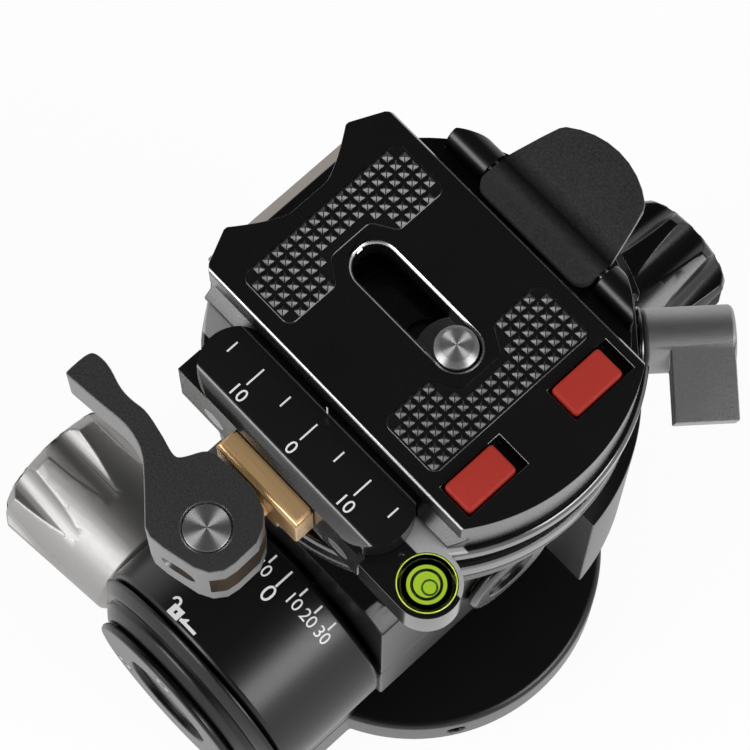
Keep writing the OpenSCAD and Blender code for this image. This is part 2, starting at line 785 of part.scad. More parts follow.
module shaft_caps() {
    color(satin_black) at_axis() {
        translate([-lug_end, 0, 0]) rotate([0, -90, 0]) shaft_cap(lug_r - 3.5);
        translate([core_w / 2 + gap, 0, 0]) rotate([0, 90, 0]) shaft_cap(bush_out + 1.5);
    }
}

module pan_scale_ring() {
    foot = pan_r - 1.9;
    color(satin_black) rotate_extrude() polygon([[axle_head_r, scale_z0], [foot, scale_z0],
        [pan_r, scale_z1 - 0.6], [pan_r - 0.3, scale_z1], [axle_head_r, scale_z1]]);
}
module pan_axle() {
    nut_r = axle_r + 2.5;
    head_z = clamp_z0 + web_t + gap;
    color(steel) {
        rod_z(yoke_z - 2.5, yoke_z, nut_r);
        rod_z(yoke_z, head_z, axle_r);
        rod_z(head_z, head_z + 2.5, axle_head_r);
    }
}

module pan_ring() {
    color(gloss_black) difference() {
        translate([0, 0, pan_z0]) edged_disc(pan_r, pan_ring_h, 0.4);
        rod_z(0, far, axle_r + run);
    }
}

// Clamp body: a rimmed disc, cut straight and bevelled at the rear and cut along the scale jaw
rear_bevel = 2.2;
rear_half = 14;                             // half width of the straight rear edge
rim_shift = 1.4;                            // the rim draws in behind the fixed jaw
module clamp_limits() {
    translate([0, far, 0]) rotate([90, 0, 0]) linear_extrude(far + clamp_flat)
        polygon([[-rear_cut, clamp_z0], [far, clamp_z0], [far, deck], [rear_bevel - rear_cut, deck],
            [-rear_cut, deck - rear_bevel]]);
}
module clamp_body() {
    color(gloss_black) difference() {
        union() {
            intersection() {
                union() {
                    rod_z(clamp_z0, deck - rim_t + eps, clamp_wall_r);
                    intersection() {
                        translate([0, 0, deck - rim_t]) edged_disc(clamp_r, rim_t, 0.5);
                        translate([rim_shift, -rim_shift, 0]) rod_z(0, far, clamp_r);
                    }
                    block([-rear_cut, -rear_half, deck - rim_t], [0, rear_half, deck]);
                }
                clamp_limits();
            }
            translate([bubble_x, bubble_y, 0]) rod_z(deck - lobe_h, deck, lobe_r);
            block([flange_x, bubble_y - lobe_r, deck - lobe_h], [bubble_x, bubble_y, deck]);
            at_lock() rod_x(stud_in, boss_out + eps, boss_r);
        }
        rod_z(0, far, axle_r + run);
        rod_z(clamp_z0 + web_t, far, pan_cap_r + seat);
        translate([bubble_x, bubble_y, 0]) rod_z(deck - bubble_h, far, bubble_r + seat);
        at_lock() {
            rod_x(stud_in - gap, far, stud_r + run);
            block([boss_out, -boss_r - gap, -far], [far, boss_r + gap, far]);
        }
        translate([0, 0, rod_z]) rod_y(-far, -rod_in, rod_r + seat);
        at_guides() {
            rod_y(-far, -spring_in, spring_hole_r);
            rod_y(-far, -guide_in, guide_r + run);
        }
        at_fixed_screws() screw_hole(fixed_screw_r, fixed_screw_l, fixed_screw_head_r, fixed_screw_head_t);
    }
}
pan_cap_r = axle_head_r + 0.4;
pan_cap_t = 2.4;
rod_in = axle_head_r + 1;
fixed_screw_x = 5.5;
fixed_screw_y = 22.2;
fixed_screw_r = 1.4;
fixed_screw_l = 11;
fixed_screw_head_r = 2.6;
fixed_screw_head_t = 2.2;
module at_fixed_screws() {
    for (x = [-fixed_screw_x, fixed_screw_x]) translate([x, fixed_screw_y, deck + jaw_h]) children();
}
guide_in = spring_in - 4;                   // inner end of the guide pins' bores
module at_guides() { for (x = [-guide_x, guide_x]) translate([x, 0, rod_z]) children(); }
module pan_cap() {
    color(satin_black) difference() {
        translate([0, 0, deck - pan_cap_t]) edged_disc(pan_cap_r, pan_cap_t, 0.3);
        rod_z(deck - pan_cap_t / 2, far, pan_cap_r / 4);
    }
}

// Cross-section of a jaw: y is the distance from the clamp's middle, 0 the plate's lower face
module jaw_section(foot_z, out, bevel) {
    polygon([[dove_half + gap, foot_z], [dove_half + gap, flank_z - dove_half - gap],
        [lip_half, flank_z - lip_half], [lip_half, flank_z - lip_half + 0.3], [jaw_edge, jaw_top],
        [out - bevel, jaw_top], [out, jaw_top - bevel], [out, foot_z]]);
}
module jaw_bar(length, foot_z, out, bevel) {
    translate([-length / 2, 0, plate_z0]) rotate([90, 0, 90])
        linear_extrude(length) jaw_section(foot_z, out, bevel);
}

module humps() {
    for (x = [tab_x0 - tab_gap - hump_w, tab_x0 + tab_w + tab_gap]) translate([x, tab_y, 0]) {
        block([0, -hump_r, deck + jaw_h - eps], [hump_w, hump_r, tab_z]);
        translate([0, 0, tab_z]) rod_x(0, hump_w, hump_r);
    }
}
module fixed_jaw() {
    color(gloss_black) difference() {
        intersection() {
            union() {
                jaw_bar(2 * fixed_jaw_out, -gap, fixed_jaw_out, 0.8);
                humps();
            }
            rod_z(0, far, jaw_round);
        }
        translate([0, tab_y, tab_z]) rod_x(-far, far, tab_pin_r + seat);
        at_fixed_screws() screw_hole(fixed_screw_r, fixed_screw_l, fixed_screw_head_r, fixed_screw_head_t);
    }
}
module fixed_jaw_screws() {
    color(steel) at_fixed_screws()
        cap_screw(fixed_screw_r, fixed_screw_l - eps, fixed_screw_head_r, fixed_screw_head_t);
}
module tab_pin() { color(steel) translate([0, tab_y, tab_z]) rod_x(-pin_half, pin_half, tab_pin_r); }

module bubble_vial() {
    color([0.85, 0.9, 0.85, 0.5]) translate([bubble_x, bubble_y, deck - bubble_h]) difference() {
        rod_z(0, bubble_h, bubble_r);
        rod_z(1, bubble_h - 1, bubble_r - vial_wall);
    }
}
module bubble_fluid() {
    color(lime) translate([bubble_x, bubble_y, deck - bubble_h])
        rod_z(1, bubble_h - 1, bubble_r - vial_wall - seat);
}

module tie_rod() {
    color(brass_gold) translate([0, 0, rod_z]) difference() {
        union() {
            rod_y(-lever_y, -rod_in - gap, rod_r);
            translate([0, -lever_y, 0]) rod_z(-fork_gap / 2 + gap, fork_gap / 2 - gap, eye_r);
        }
        translate([0, -lever_y, 0]) rod_z(-far, far, lever_pin_r + seat);
    }
}
module lever_pin() {
    color(steel) translate([0, -lever_y, 0]) rod_z(lever_low + 0.2, lever_top + 0.2, lever_pin_r);
}
module guide_pins() { color(steel) at_guides() rod_y(-jaw_out, -guide_in - gap, guide_r); }

// A coil of round wire along +Z, swept as one tube
coil_rings = 8;                             // rings in each turn
function coil_at(i, r, pitch) = let (a = 360 * i / coil_rings)
    [r * cos(a), r * sin(a), pitch * i / coil_rings];
module coil(r, wire, turns, length) {
    sides = 6;
    rings = turns * coil_rings;
    pitch = length / turns;
    points = [for (i = [0 : rings], k = [0 : sides - 1])
        let (a = 360 * i / coil_rings, c = coil_at(i, r, pitch), q = wire * cos(360 * k / sides))
        c + [q * cos(a), q * sin(a), wire * sin(360 * k / sides)]];
    tube = [for (i = [0 : rings - 1], k = [0 : sides - 1], half = [0, 1])
        let (n = (k + 1) % sides, p = i * sides, s = (i + 1) * sides)
        half == 0 ? [p + k, s + n, s + k] : [p + k, p + n, s + n]];
    ends = [for (k = [1 : sides - 2], e = [0, 1])
        e == 0 ? [0, k + 1, k] : [rings * sides, rings * sides + k, rings * sides + k + 1]];
    polyhedron(points, concat(tube, ends));
    least = min([for (i = [0 : rings], j = [0 : rings]) if (j - i >= coil_rings / 2)
        norm(coil_at(i, r, pitch) - coil_at(j, r, pitch))]);
    echo(least_gap_between_curls = least - 2 * wire);
}
module jaw_springs() {
    length = apron_in - spring_in - 2 * gap - 2 * spring_wire;
    color(steel) at_guides() translate([0, -spring_in - gap - spring_wire, 0]) rotate([90, 0, 0])
        coil(spring_r, spring_wire, spring_turns, length);
}

module at_lock() { rotate([0, 0, lock_angle]) translate([0, 0, lock_z]) children(); }
module pan_lock_washer() {
    color(satin_black) at_lock() difference() {
        rod_x(lock_in, lock_in + lock_washer_t, boss_r);
        rod_x(0, far, stud_r + seat);
    }
}
module pan_lock_lever() {
    paddle_t = 4.6;
    inset = 0.3;
    droop = 12;
    color(gunmetal) at_lock() {
        rod_x(stud_in, hub_in, stud_r);
        translate([hub_in, 0, 0]) rotate([0, 90, 0]) edged_disc(lock_hub_r, hub_l, 0.5);
        rotate([droop, 0, 0]) block([hub_out - paddle_w, -paddle_l, lock_hub_r - paddle_t - inset],
            [hub_out - inset, 0, lock_hub_r - inset]);
    }
}

// Clamp lever with its cam; the outline is drawn round the pin, with the shoe on the +Y side
module lever_outline() {
    circle(r = hub_r);
    translate([-0.6, cam_rise]) circle(r = cam_r);
    polygon([[-lever_l, 5], [1 - lever_l, 5.8], [3.5 - lever_l, 5.9], [7 - lever_l, 4.8], [-21, 4.8],
        [-18.5, 5.3], [-14, 4.4], [-11, 3.6], [-10, 4.2], [-8.5, cam_top - 1], [-7, cam_top - 0.5],
        [-2.5, cam_top], [0.4, cam_top], [3.4, cam_top - 1], [5.2, 6], [6.4, 3.7], [6.5, -0.5],
        [6.2, -2.4], [5, -4.1], [3, -5.2], [-2, -6.4], [-4.5, -6.7], [-6, -6.2], [-12.5, -0.6],
        [-14.6, 0.8], [-17, 1.5], [-19.5, 1.7], [6.5 - lever_l, 1.1], [1.5 - lever_l, 0.6],
        [0.3 - lever_l, 0.5], [-lever_l, 0.9]]);
}
module clamp_lever() {
    hub_x = -12;
    color(gunmetal) translate([0, -lever_y, 0]) difference() {
        union() {
            intersection() {
                translate([0, 0, lever_low]) linear_extrude(lever_top - lever_low) lever_outline();
                block([hub_x, -far, 0], [far, far, far]);
            }
            translate([0, 0, lever_top - handle_h]) linear_extrude(handle_h) lever_outline();
        }
        rod_z(0, far, lever_pin_r + run);
        translate([0, 0, rod_z - fork_gap / 2]) {
            rod_z(0, fork_gap, eye_r + 0.5);
            block([-rod_r - 0.5, -eye_r, 0], [far, far, fork_gap]);
        }
        translate([0, 0, rod_z]) for (x = [window_h - window_w, window_w - window_h]) translate([x / 2, 0, 0])
            rod_y(-far, 0, window_h / 2);
        block([(window_h - window_w) / 2, -far, rod_z - window_h / 2],
            [(window_w - window_h) / 2, 0, rod_z + window_h / 2]);
    }
}

// Scale jaw: a stadium bar on a straight bar, with an apron that the brass shoe sits on
module scale_jaw() {
    mid = (lip_half + jaw_out) / 2;
    color(gloss_black) difference() {
        union() {
            intersection() {
                mirror([0, 1, 0]) jaw_bar(jaw_l, 0, jaw_out, jaw_bevel);
                union() {
                    block([stadium_r - jaw_l / 2, -jaw_out, 0], [jaw_l / 2 - stadium_r, 0, far]);
                    for (x = [-1, 1]) translate([x * (jaw_l / 2 - stadium_r), -mid, 0])
                        rod_z(0, far, stadium_r);
                }
            }
            block([apron_x[0], -jaw_out, plate_z0], [apron_x[1], -bar_in, plate_z0 + bar_h]);
            block([apron_x[0], -jaw_out, plate_z0 - apron_low], [apron_x[1], -apron_in, plate_z0 + eps]);
        }
        translate([0, 0, rod_z]) rod_y(-far, 0, rod_r + run);
        at_guides() rod_y(-far, 0, guide_r + seat);
    }
}
module cam_shoe() {
    step_h = 3.2;
    shoe_edge = 0.8;
    color(brass_gold) difference() {
        union() {
            block([-shoe_l / 2, -shoe_out, plate_z0 - shoe_low],
                [shoe_l / 2, -jaw_out, plate_z0 + shoe_high - shoe_edge]);
            block([-shoe_l / 2 + 0.5, -shoe_out + shoe_edge, plate_z0],
                [shoe_l / 2 - 0.5, -jaw_out, plate_z0 + shoe_high]);
            block([-shoe_l / 4, -shoe_out, plate_z0 - shoe_low - step_h], [shoe_l / 4, -jaw_out, plate_z0]);
        }
        translate([0, 0, rod_z]) rod_y(-far, 0, rod_r + run);
    }
}

// Safety tab: a rocking plate with a shallow valley over its pin, narrower and rounded at its outer end
function arc(c, r, from, to, n = 8) =
    [for (i = [0 : n]) let (a = from + (to - from) * i / n) c + r * [cos(a), sin(a)]];
module tab_outline() {
    half = tab_w / 2;
    corner = 2.2;
    end_r = 13;
    end_half = 38;                          // half of the outer arc's angle
    end_x = end_r * sin(end_half);
    end_y = tab_reach - end_r + end_r * cos(end_half);
    polygon(concat(arc([half - corner, corner - tab_in], corner, -90, 0),
        [[half, 1.5], [end_x + 0.9, end_y - 1.9], [end_x + 0.55, end_y - 0.8]],
        arc([0, tab_reach - end_r], end_r, 90 - end_half, 90 + end_half),
        [[-end_x - 0.55, end_y - 0.8], [-end_x - 0.9, end_y - 1.9], [-half, 1.5]],
        arc([corner - half, corner - tab_in], corner, 180, 270)));
}
module safety_tab() {
    rise = 1.2;                             // how much higher the outer end lies than the inner one
    valley = 2.2;
    t = 1.6;
    inner_z = valley + 0.6;
    color(gunmetal) translate([tab_x0, tab_y, tab_z]) difference() {
        union() {
            intersection() {
                rotate([90, 0, 90]) linear_extrude(tab_w) polygon([[-tab_in, inner_z - t],
                    [-tab_in, inner_z], [-1.8, valley + 0.4], [-0.6, valley + 0.13], [0.5, valley],
                    [1.6, valley + 0.1], [3, valley + 0.4], [tab_reach, inner_z + rise],
                    [tab_reach, inner_z + rise - t], [3, valley + 0.4 - t], [1.2, valley - t],
                    [-1.2, valley - t]]);
                translate([tab_w / 2, 0, 0]) linear_extrude(far) tab_outline();
            }
            rod_x(0, tab_w, knuckle_r);
        }
        rod_x(-far, far, tab_pin_r + run);
    }
}

// Quick-release plate
module plate_outline() {
    half = dove_half + 1;
    reach = ear_y - ear_tip - waist_y;
    edge = concat([for (t = [0 : 0.125 : 1])
            [waist_x + (ear_x - waist_x) * pow(t, ear_sweep), waist_y + reach * t]],
        [[ear_x, ear_y], [corner_x - corner_cut, plate_half - corner_cut], [corner_x, plate_half],
         [corner_x, half]]);
    mirrored = [for (i = [len(edge) - 1 : -1 : 0]) [edge[i][0], -edge[i][1]]];
    intersection() {
        polygon(concat(mirrored, edge, [[far, half], [far, -half]]));
        union() {
            circle(r = nose_r);
            translate([ear_x, -half]) square([-ear_x, 2 * half]);
        }
    }
}
module plate_section() {
    slope_z = groove_z + groove_flat + plate_half - groove_half;
    side = [[dove_half, 0], [dove_half, dove_foot], [groove_half, groove_z],
        [groove_half, groove_z + groove_flat], [plate_half, slope_z], [plate_half, plate_t - 0.4],
        [plate_half - 0.4, plate_t]];
    polygon(concat(side, [for (i = [len(side) - 1 : -1 : 0]) [-side[i][0], side[i][1]]]));
}
function unit(v) = v / norm(v);
// The corner b of an outline through a, b and c, rounded with the radius r
function rounded(a, b, c, r, n = 5) =
    let (u = unit(a - b), v = unit(c - b), half = acos(u * v) / 2, m = b + unit(u + v) * r / sin(half),
        p = b + u * r / tan(half) - m, q = b + v * r / tan(half) - m,
        from = atan2(p[1], p[0]), turn = sign(p[0] * q[1] - p[1] * q[0]) * (180 - 2 * half))
    arc(m, r, from, from + turn, n);
module pad_outline(x) {
    notch = pad_waist + 1.4;
    inner = pad_waist - 0.9;
    points = [[x[0], -pad_half], [x[1], -pad_half], [x[1], -notch], [x[2], -inner], [x[2], inner],
        [x[1], notch], [x[1], pad_half], [x[0], pad_half]];
    n = len(points);
    polygon([for (i = [0 : n - 1])
        each rounded(points[(i + n - 1) % n], points[i], points[(i + 1) % n], pad_corner)]);
}
module pads(depth, height) {
    for (x = [rear_pad_x, front_pad_x]) translate([0, 0, top - depth]) linear_extrude(height) pad_outline(x);
}
module stadium_x(a, b, half, z0, z1) {
    block([a + half, -half, z0], [b - half, half, z1]);
    for (x = [a + half, b - half]) translate([x, 0, 0]) rod_z(z0, z1, half);
}
module button_pocket(y) {
    grow = gap;
    block([button_x - button_w / 2 - grow, y[0] - grow, pocket_floor],
        [button_x + button_w / 2 + grow, y[1] + button_travel + grow, top + eps]);
}
module quick_plate() {
    color(satin_black) difference() {
        intersection() {
            translate([0, 0, plate_z0]) linear_extrude(plate_t) plate_outline();
            translate([-far / 2, 0, plate_z0]) rotate([90, 0, 90]) linear_extrude(far) plate_section();
        }
        pads(pad_sink, pad_sink + eps);
        stadium_x(slot_rear, slot_front, slot_w / 2, 0, far);
        stadium_x(slot_rear + slot_w / 2 - recess_half, slot_front - slot_w / 2 + recess_half, recess_half,
            0, top - slot_lip);
        button_pocket(left_button_y);
        button_pocket(right_button_y);
    }
}
module grip_pads() { color(rubber_black) pads(pad_sink, pad_sink + pad_rise); }

washer_top = top - slot_lip - gap;
module screw_washer() {
    color(steel) translate([screw_x, 0, 0]) difference() {
        rod_z(washer_top - washer_t, washer_top, washer_r);
        rod_z(0, far, screw_d / 2 + run);
    }
}
module camera_screw() {
    head_top = washer_top - washer_t - gap;
    tip = top + screw_rise;
    tip_cut = 0.7;
    color(steel) translate([screw_x, 0, 0]) difference() {
        union() {
            rotate_extrude() polygon([[0, head_top - eps], [screw_d / 2, head_top - eps],
                [screw_d / 2, tip - tip_cut], [screw_d / 2 - tip_cut, tip], [0, tip]]);
            translate([0, 0, head_top - screw_head_t]) edged_disc(screw_head_r, screw_head_t, 0.4);
        }
        block([-far, -0.7, head_top - screw_head_t - eps], [far, 0.7, head_top - screw_head_t + 1.2]);
    }
}
module button(y) {
    block([button_x - button_w / 2, y[0], top - button_sink],
        [button_x + button_w / 2, y[1], top + button_rise]);
}
module left_button() { color(signal_red) button(left_button_y); }
module right_button() { color(signal_red) button(right_button_y); }

base_disc();
tripod_bush();
base_pad();
bush_grub_screws();
tilt_housing();
pedestal_screws();
tilt_cover();
cover_screws();
right_pedestal();
tilt_bushes();
tilt_worm_bearings();
tilt_release_ring();
tilt_worm();
tilt_knob();
tilt_knob_cap();
tilt_knob_screw();
core_lower();
core_upper();
core_screws();
tilt_trunnions();
tilt_wheel();
roll_bushes();
roll_worm_bearings();
roll_worm();
roll_knob();
roll_knob_cap();
roll_knob_screw();
yoke_disc();
yoke_cheek_right();
yoke_cheek_left();
cheek_screws();
roll_shaft();
roll_wheel();
shaft_caps();
pan_scale_ring();
pan_axle();
clamp_body();
pan_ring();
pan_cap();
fixed_jaw();
fixed_jaw_screws();
bubble_vial();
bubble_fluid();
tie_rod();
lever_pin();
guide_pins();
jaw_springs();
tab_pin();
pan_lock_lever();
pan_lock_washer();
clamp_lever();
scale_jaw();
cam_shoe();
safety_tab();
quick_plate();
grip_pads();
screw_washer();
camera_screw();
left_button();
right_button();
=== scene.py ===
# %% [markdown]
# A geared tripod head, dressed for a studio picture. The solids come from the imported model, which fixes
# every size and every joint. This lesson only gives them rounded edges, printed scales, rubber pyramids
# and finishes, so each cell starts from a solid that is already in its place.

# %% Load the model
import json
import math
import bpy
from mathutils import Matrix, Vector


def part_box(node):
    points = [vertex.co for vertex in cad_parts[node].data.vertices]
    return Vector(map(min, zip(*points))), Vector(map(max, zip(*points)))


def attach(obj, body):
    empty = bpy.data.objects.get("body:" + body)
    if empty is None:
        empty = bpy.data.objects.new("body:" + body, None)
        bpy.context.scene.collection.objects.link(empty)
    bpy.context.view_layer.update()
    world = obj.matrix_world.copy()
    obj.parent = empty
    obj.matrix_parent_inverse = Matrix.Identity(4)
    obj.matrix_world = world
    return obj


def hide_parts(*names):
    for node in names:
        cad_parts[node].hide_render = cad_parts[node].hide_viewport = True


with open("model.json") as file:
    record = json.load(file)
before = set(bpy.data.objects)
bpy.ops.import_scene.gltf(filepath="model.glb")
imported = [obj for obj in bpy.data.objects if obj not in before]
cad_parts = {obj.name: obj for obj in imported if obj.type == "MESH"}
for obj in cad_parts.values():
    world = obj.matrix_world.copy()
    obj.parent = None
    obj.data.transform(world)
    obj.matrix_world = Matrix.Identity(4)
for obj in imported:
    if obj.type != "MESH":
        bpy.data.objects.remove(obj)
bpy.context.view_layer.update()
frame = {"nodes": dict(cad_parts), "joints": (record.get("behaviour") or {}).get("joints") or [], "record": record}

MM = 0.001
scene = bpy.context.scene
scene.view_settings.view_transform = "Standard"
record = frame["record"]
body_of = {node: body for body, nodes in record["behaviour"]["bodies"].items() for node in nodes}
slot_of = {row["node"]: row["material_slot"] for row in record["subparts"]}

# %% [markdown]
# A product photographer stands above this head with a long lens. The camera's place, its target on the
# plate and its small roll were worked out from the straight edges of the plate. A long lens keeps the
# plate's sides nearly parallel, which is why the camera stands almost half a metre away.

# %% Camera
CAMERA_MM = (100.58, -106.34, 557.10)
TARGET_MM = (1.23, -11.09, 132.0)
ROLL_DEG = 0.82
LENS_MM = 154.82

bpy.ops.object.select_all(action="DESELECT")
bpy.ops.object.camera_add(location=Vector(CAMERA_MM) * MM)
camera = bpy.context.object
camera.data.lens = LENS_MM
camera.data.sensor_width = 36
camera.data.clip_start = 0.01
toward = (Vector(TARGET_MM) - Vector(CAMERA_MM)).to_track_quat("-Z", "Y").to_matrix()
turn = toward @ Matrix.Rotation(math.radians(ROLL_DEG), 3, "Z")
camera.rotation_euler = turn.to_euler()
scene.camera = camera
print("camera at", CAMERA_MM)

# %% [markdown]
# The studio is a white table with white walls under a dark ceiling. Upright metal faces then mirror the
# white table and turn light grey, while the plate's top mirrors the ceiling and stays black. Two soft boxes
# stand low, on the sides that the camera sees. Every face that leans towards the camera mirrors one of them,
# which is what makes the small rubber pyramids sparkle, while level faces never see them.

# %% Floor, walls and lamps
def link(tree, start, end):
    tree.links.new(start, end)


def maths(tree, operation, first, second=None):
    """A Math node on one or two values, each an output socket or, for the second, a plain number."""
    node = tree.nodes.new("ShaderNodeMath")
    node.operation = operation
    link(tree, first, node.inputs[0])
    if isinstance(second, float):
        node.inputs[1].default_value = second
    elif second is not None:
        link(tree, second, node.inputs[1])
    return node.outputs[0]


def seen_directly(tree):
    """1 for rays from the camera and for mirrored or refracted rays, 0 for soft light."""
    path = tree.nodes.new("ShaderNodeLightPath")
    mirrored = maths(tree, "MAXIMUM", path.outputs["Is Camera Ray"], path.outputs["Is Glossy Ray"])
    return maths(tree, "MAXIMUM", mirrored, path.outputs["Is Transmission Ray"])


FLOOR_SIZE = 6.0
FLOOR_GLOW = 0.93
FLOOR_TONE = (0.86, 0.86, 0.86)
bpy.ops.mesh.primitive_plane_add(size=FLOOR_SIZE, location=(0, 0, 0))
floor = bpy.context.object
floor.name = "studio_floor"
floor_paint = bpy.data.materials.new("white_table")
floor_paint.use_nodes = True
tree = floor_paint.node_tree
tree.nodes.clear()
out = tree.nodes.new("ShaderNodeOutputMaterial")
card = tree.nodes.new("ShaderNodeBsdfDiffuse")
card.inputs["Color"].default_value = (*FLOOR_TONE, 1)
glow = tree.nodes.new("ShaderNodeEmission")
glow.inputs["Color"].default_value = (1, 1, 1, 1)
mix = tree.nodes.new("ShaderNodeMixShader")
link(tree, maths(tree, "MULTIPLY", seen_directly(tree), FLOOR_GLOW), mix.inputs["Fac"])
link(tree, card.outputs[0], mix.inputs[1])
link(tree, glow.outputs[0], mix.inputs[2])
link(tree, mix.outputs[0], out.inputs["Surface"])
floor.data.materials.append(floor_paint)

world = bpy.data.worlds.new("studio")
scene.world = world
world.use_nodes = True
tree = world.node_tree
tree.nodes.clear()
FILL_LEVEL = 0.45
CEILING = 0.025
# Sines of the heights at which the white walls end and the dark ceiling begins
WALL_TOP, CEILING_FROM = 0.18, 0.62
out = tree.nodes.new("ShaderNodeOutputWorld")
place = tree.nodes.new("ShaderNodeTexCoord")
split = tree.nodes.new("ShaderNodeSeparateXYZ")
link(tree, place.outputs["Generated"], split.inputs[0])
height = tree.nodes.new("ShaderNodeMapRange")
height.interpolation_type = "SMOOTHSTEP"
height.inputs["From Min"].default_value = WALL_TOP
height.inputs["From Max"].default_value = CEILING_FROM
height.inputs["To Min"].default_value = 1.0
height.inputs["To Max"].default_value = CEILING
link(tree, split.outputs["Z"], height.inputs["Value"])
level = tree.nodes.new("ShaderNodeMix")
level.data_type = "FLOAT"
SHARE, UNSEEN, SEEN = 0, 2, 3           # sockets of a Mix node for numbers
level.inputs[UNSEEN].default_value = FILL_LEVEL
link(tree, seen_directly(tree), level.inputs[SHARE])
link(tree, height.outputs[0], level.inputs[SEEN])
sky = tree.nodes.new("ShaderNodeBackground")
sky.inputs["Color"].default_value = (1, 1, 1, 1)
link(tree, level.outputs[0], sky.inputs["Strength"])
link(tree, sky.outputs[0], out.inputs["Surface"])


def softbox(name, place, size, power):
    bpy.ops.object.select_all(action="DESELECT")
    bpy.ops.object.light_add(type="AREA", location=place)
    lamp = bpy.context.object
    lamp.name = name
    lamp.data.shape = "RECTANGLE"
    lamp.data.size = size[0]
    lamp.data.size_y = size[1]
    lamp.data.energy = power
    aim = Vector(AIM_AT) - Vector(place)
    lamp.rotation_euler = aim.to_track_quat("-Z", "Y").to_euler()


AIM_AT = (0, 0, 0.09)
BOX_SIZE, BOX_WATTS = (0.5, 0.4), 5.0
softbox("right_box", (0.78, 0.19, 0.55), BOX_SIZE, BOX_WATTS)
softbox("left_box", (-0.21, -0.78, 0.54), BOX_SIZE, BOX_WATTS)
print("studio: floor", FLOOR_SIZE, "m, two soft boxes")

# %% [markdown]
# Anodised, blasted and turned metal differ in their smallest marks. Two node groups make those marks once:
# a grain with a slow cloud in it, and a wipe of faint straight scratches. Every finish below places the
# groups with its own scale, so that one change here reaches all of them.

# %% Shared surface groups
def new_group(name, inputs, outputs):
    group = bpy.data.node_groups.new(name, "ShaderNodeTree")
    for label, kind, value in inputs:
        socket = group.interface.new_socket(label, in_out="INPUT", socket_type=kind)
        if value is not None:
            socket.default_value = value
    for label in outputs:
        group.interface.new_socket(label, in_out="OUTPUT", socket_type="NodeSocketFloat")
    return group, group.nodes.new("NodeGroupInput"), group.nodes.new("NodeGroupOutput")


CLOUD_SCALE = 90


def grain_group():
    """Fine noise for roughness and bump, and a slow cloud for the tone."""
    inputs = [("Vector", "NodeSocketVector", None), ("Scale", "NodeSocketFloat", 4000.0)]
    group, give, take = new_group("surface_grain", inputs, ["Grain", "Cloud"])
    fine = group.nodes.new("ShaderNodeTexNoise")
    fine.inputs["Detail"].default_value = 3
    slow = group.nodes.new("ShaderNodeTexNoise")
    slow.inputs["Scale"].default_value = CLOUD_SCALE
    slow.inputs["Detail"].default_value = 2
    link(group, give.outputs["Vector"], fine.inputs["Vector"])
    link(group, give.outputs["Scale"], fine.inputs["Scale"])
    link(group, give.outputs["Vector"], slow.inputs["Vector"])
    link(group, fine.outputs["Fac"], take.inputs["Grain"])
    link(group, slow.outputs["Fac"], take.inputs["Cloud"])
    return group


def wipe_group():
    """Faint straight lines, as a cloth or a cutter leaves them."""
    inputs = [("Vector", "NodeSocketVector", None), ("Stretch", "NodeSocketVector", (40, 2500, 2500))]
    group, give, take = new_group("wipe_lines", inputs, ["Lines"])
    squeeze = group.nodes.new("ShaderNodeVectorMath")
    squeeze.operation = "MULTIPLY"
    lines = group.nodes.new("ShaderNodeTexNoise")
    lines.inputs["Scale"].default_value = 1
    lines.inputs["Detail"].default_value = 2
    link(group, give.outputs["Vector"], squeeze.inputs[0])
    link(group, give.outputs["Stretch"], squeeze.inputs[1])
    link(group, squeeze.outputs[0], lines.inputs["Vector"])
    link(group, lines.outputs["Fac"], take.inputs["Lines"])
    return group


GRAIN = grain_group()
WIPE = wipe_group()
print("groups:", [g.name for g in bpy.data.node_groups])

# %% [markdown]
# Most of the head is anodised aluminium. One recipe serves every shade: a dark base, a roughness that the
# grain breaks up a little, and a bump only a few thousandths of a millimetre deep. A higher index of
# refraction than plastic gives upright faces their strong mirror of the white table.

# %% Anodised metal
def start_material(name):
    material = bpy.data.materials.new(name)
    material.use_nodes = True
    return material, material.node_tree, material.node_tree.nodes["Principled BSDF"]


def place_group(tree, group, **values):
    """A group node that reads object coordinates."""
    place = tree.nodes.new("ShaderNodeTexCoord")
    node = tree.nodes.new("ShaderNodeGroup")
    node.node_tree = group
    link(tree, place.outputs["Object"], node.inputs["Vector"])
    for label, value in values.items():
        node.inputs[label].default_value = value
    return node


def spread(tree, source, low, high, from_low=0.3, from_high=0.7):
    """Maps a noise value to a range of numbers."""
    node = tree.nodes.new("ShaderNodeMapRange")
    node.inputs["From Min"].default_value = from_low
    node.inputs["From Max"].default_value = from_high
    node.inputs["To Min"].default_value = low
    node.inputs["To Max"].default_value = high
    link(tree, source, node.inputs["Value"])
    return node.outputs[0]


MASK, UNDER, OVER, MIXED = 0, 6, 7, 2   # sockets of a Mix node for colours


def tint(tree, source, dark, light):
    """Maps a noise value to a colour between two shades."""
    node = tree.nodes.new("ShaderNodeMix")
    node.data_type = "RGBA"
    node.inputs[UNDER].default_value = (*dark, 1)
    node.inputs[OVER].default_value = (*light, 1)
    link(tree, source, node.inputs[MASK])
    return node.outputs[MIXED]


def blend(tree, mask, under, over):
    """Mixes two colours by a mask."""
    node = tree.nodes.new("ShaderNodeMix")
    node.data_type = "RGBA"
    for source, socket in ((mask, MASK), (under, UNDER), (over, OVER)):
        link(tree, source, node.inputs[socket])
    return node.outputs[MIXED]


def bump(tree, source, shader, depth_mm):
    node = tree.nodes.new("ShaderNodeBump")
    node.inputs["Strength"].default_value = 1.0
    node.inputs["Distance"].default_value = depth_mm * MM
    link(tree, source, node.inputs["Height"])
    link(tree, node.outputs[0], shader.inputs["Normal"])


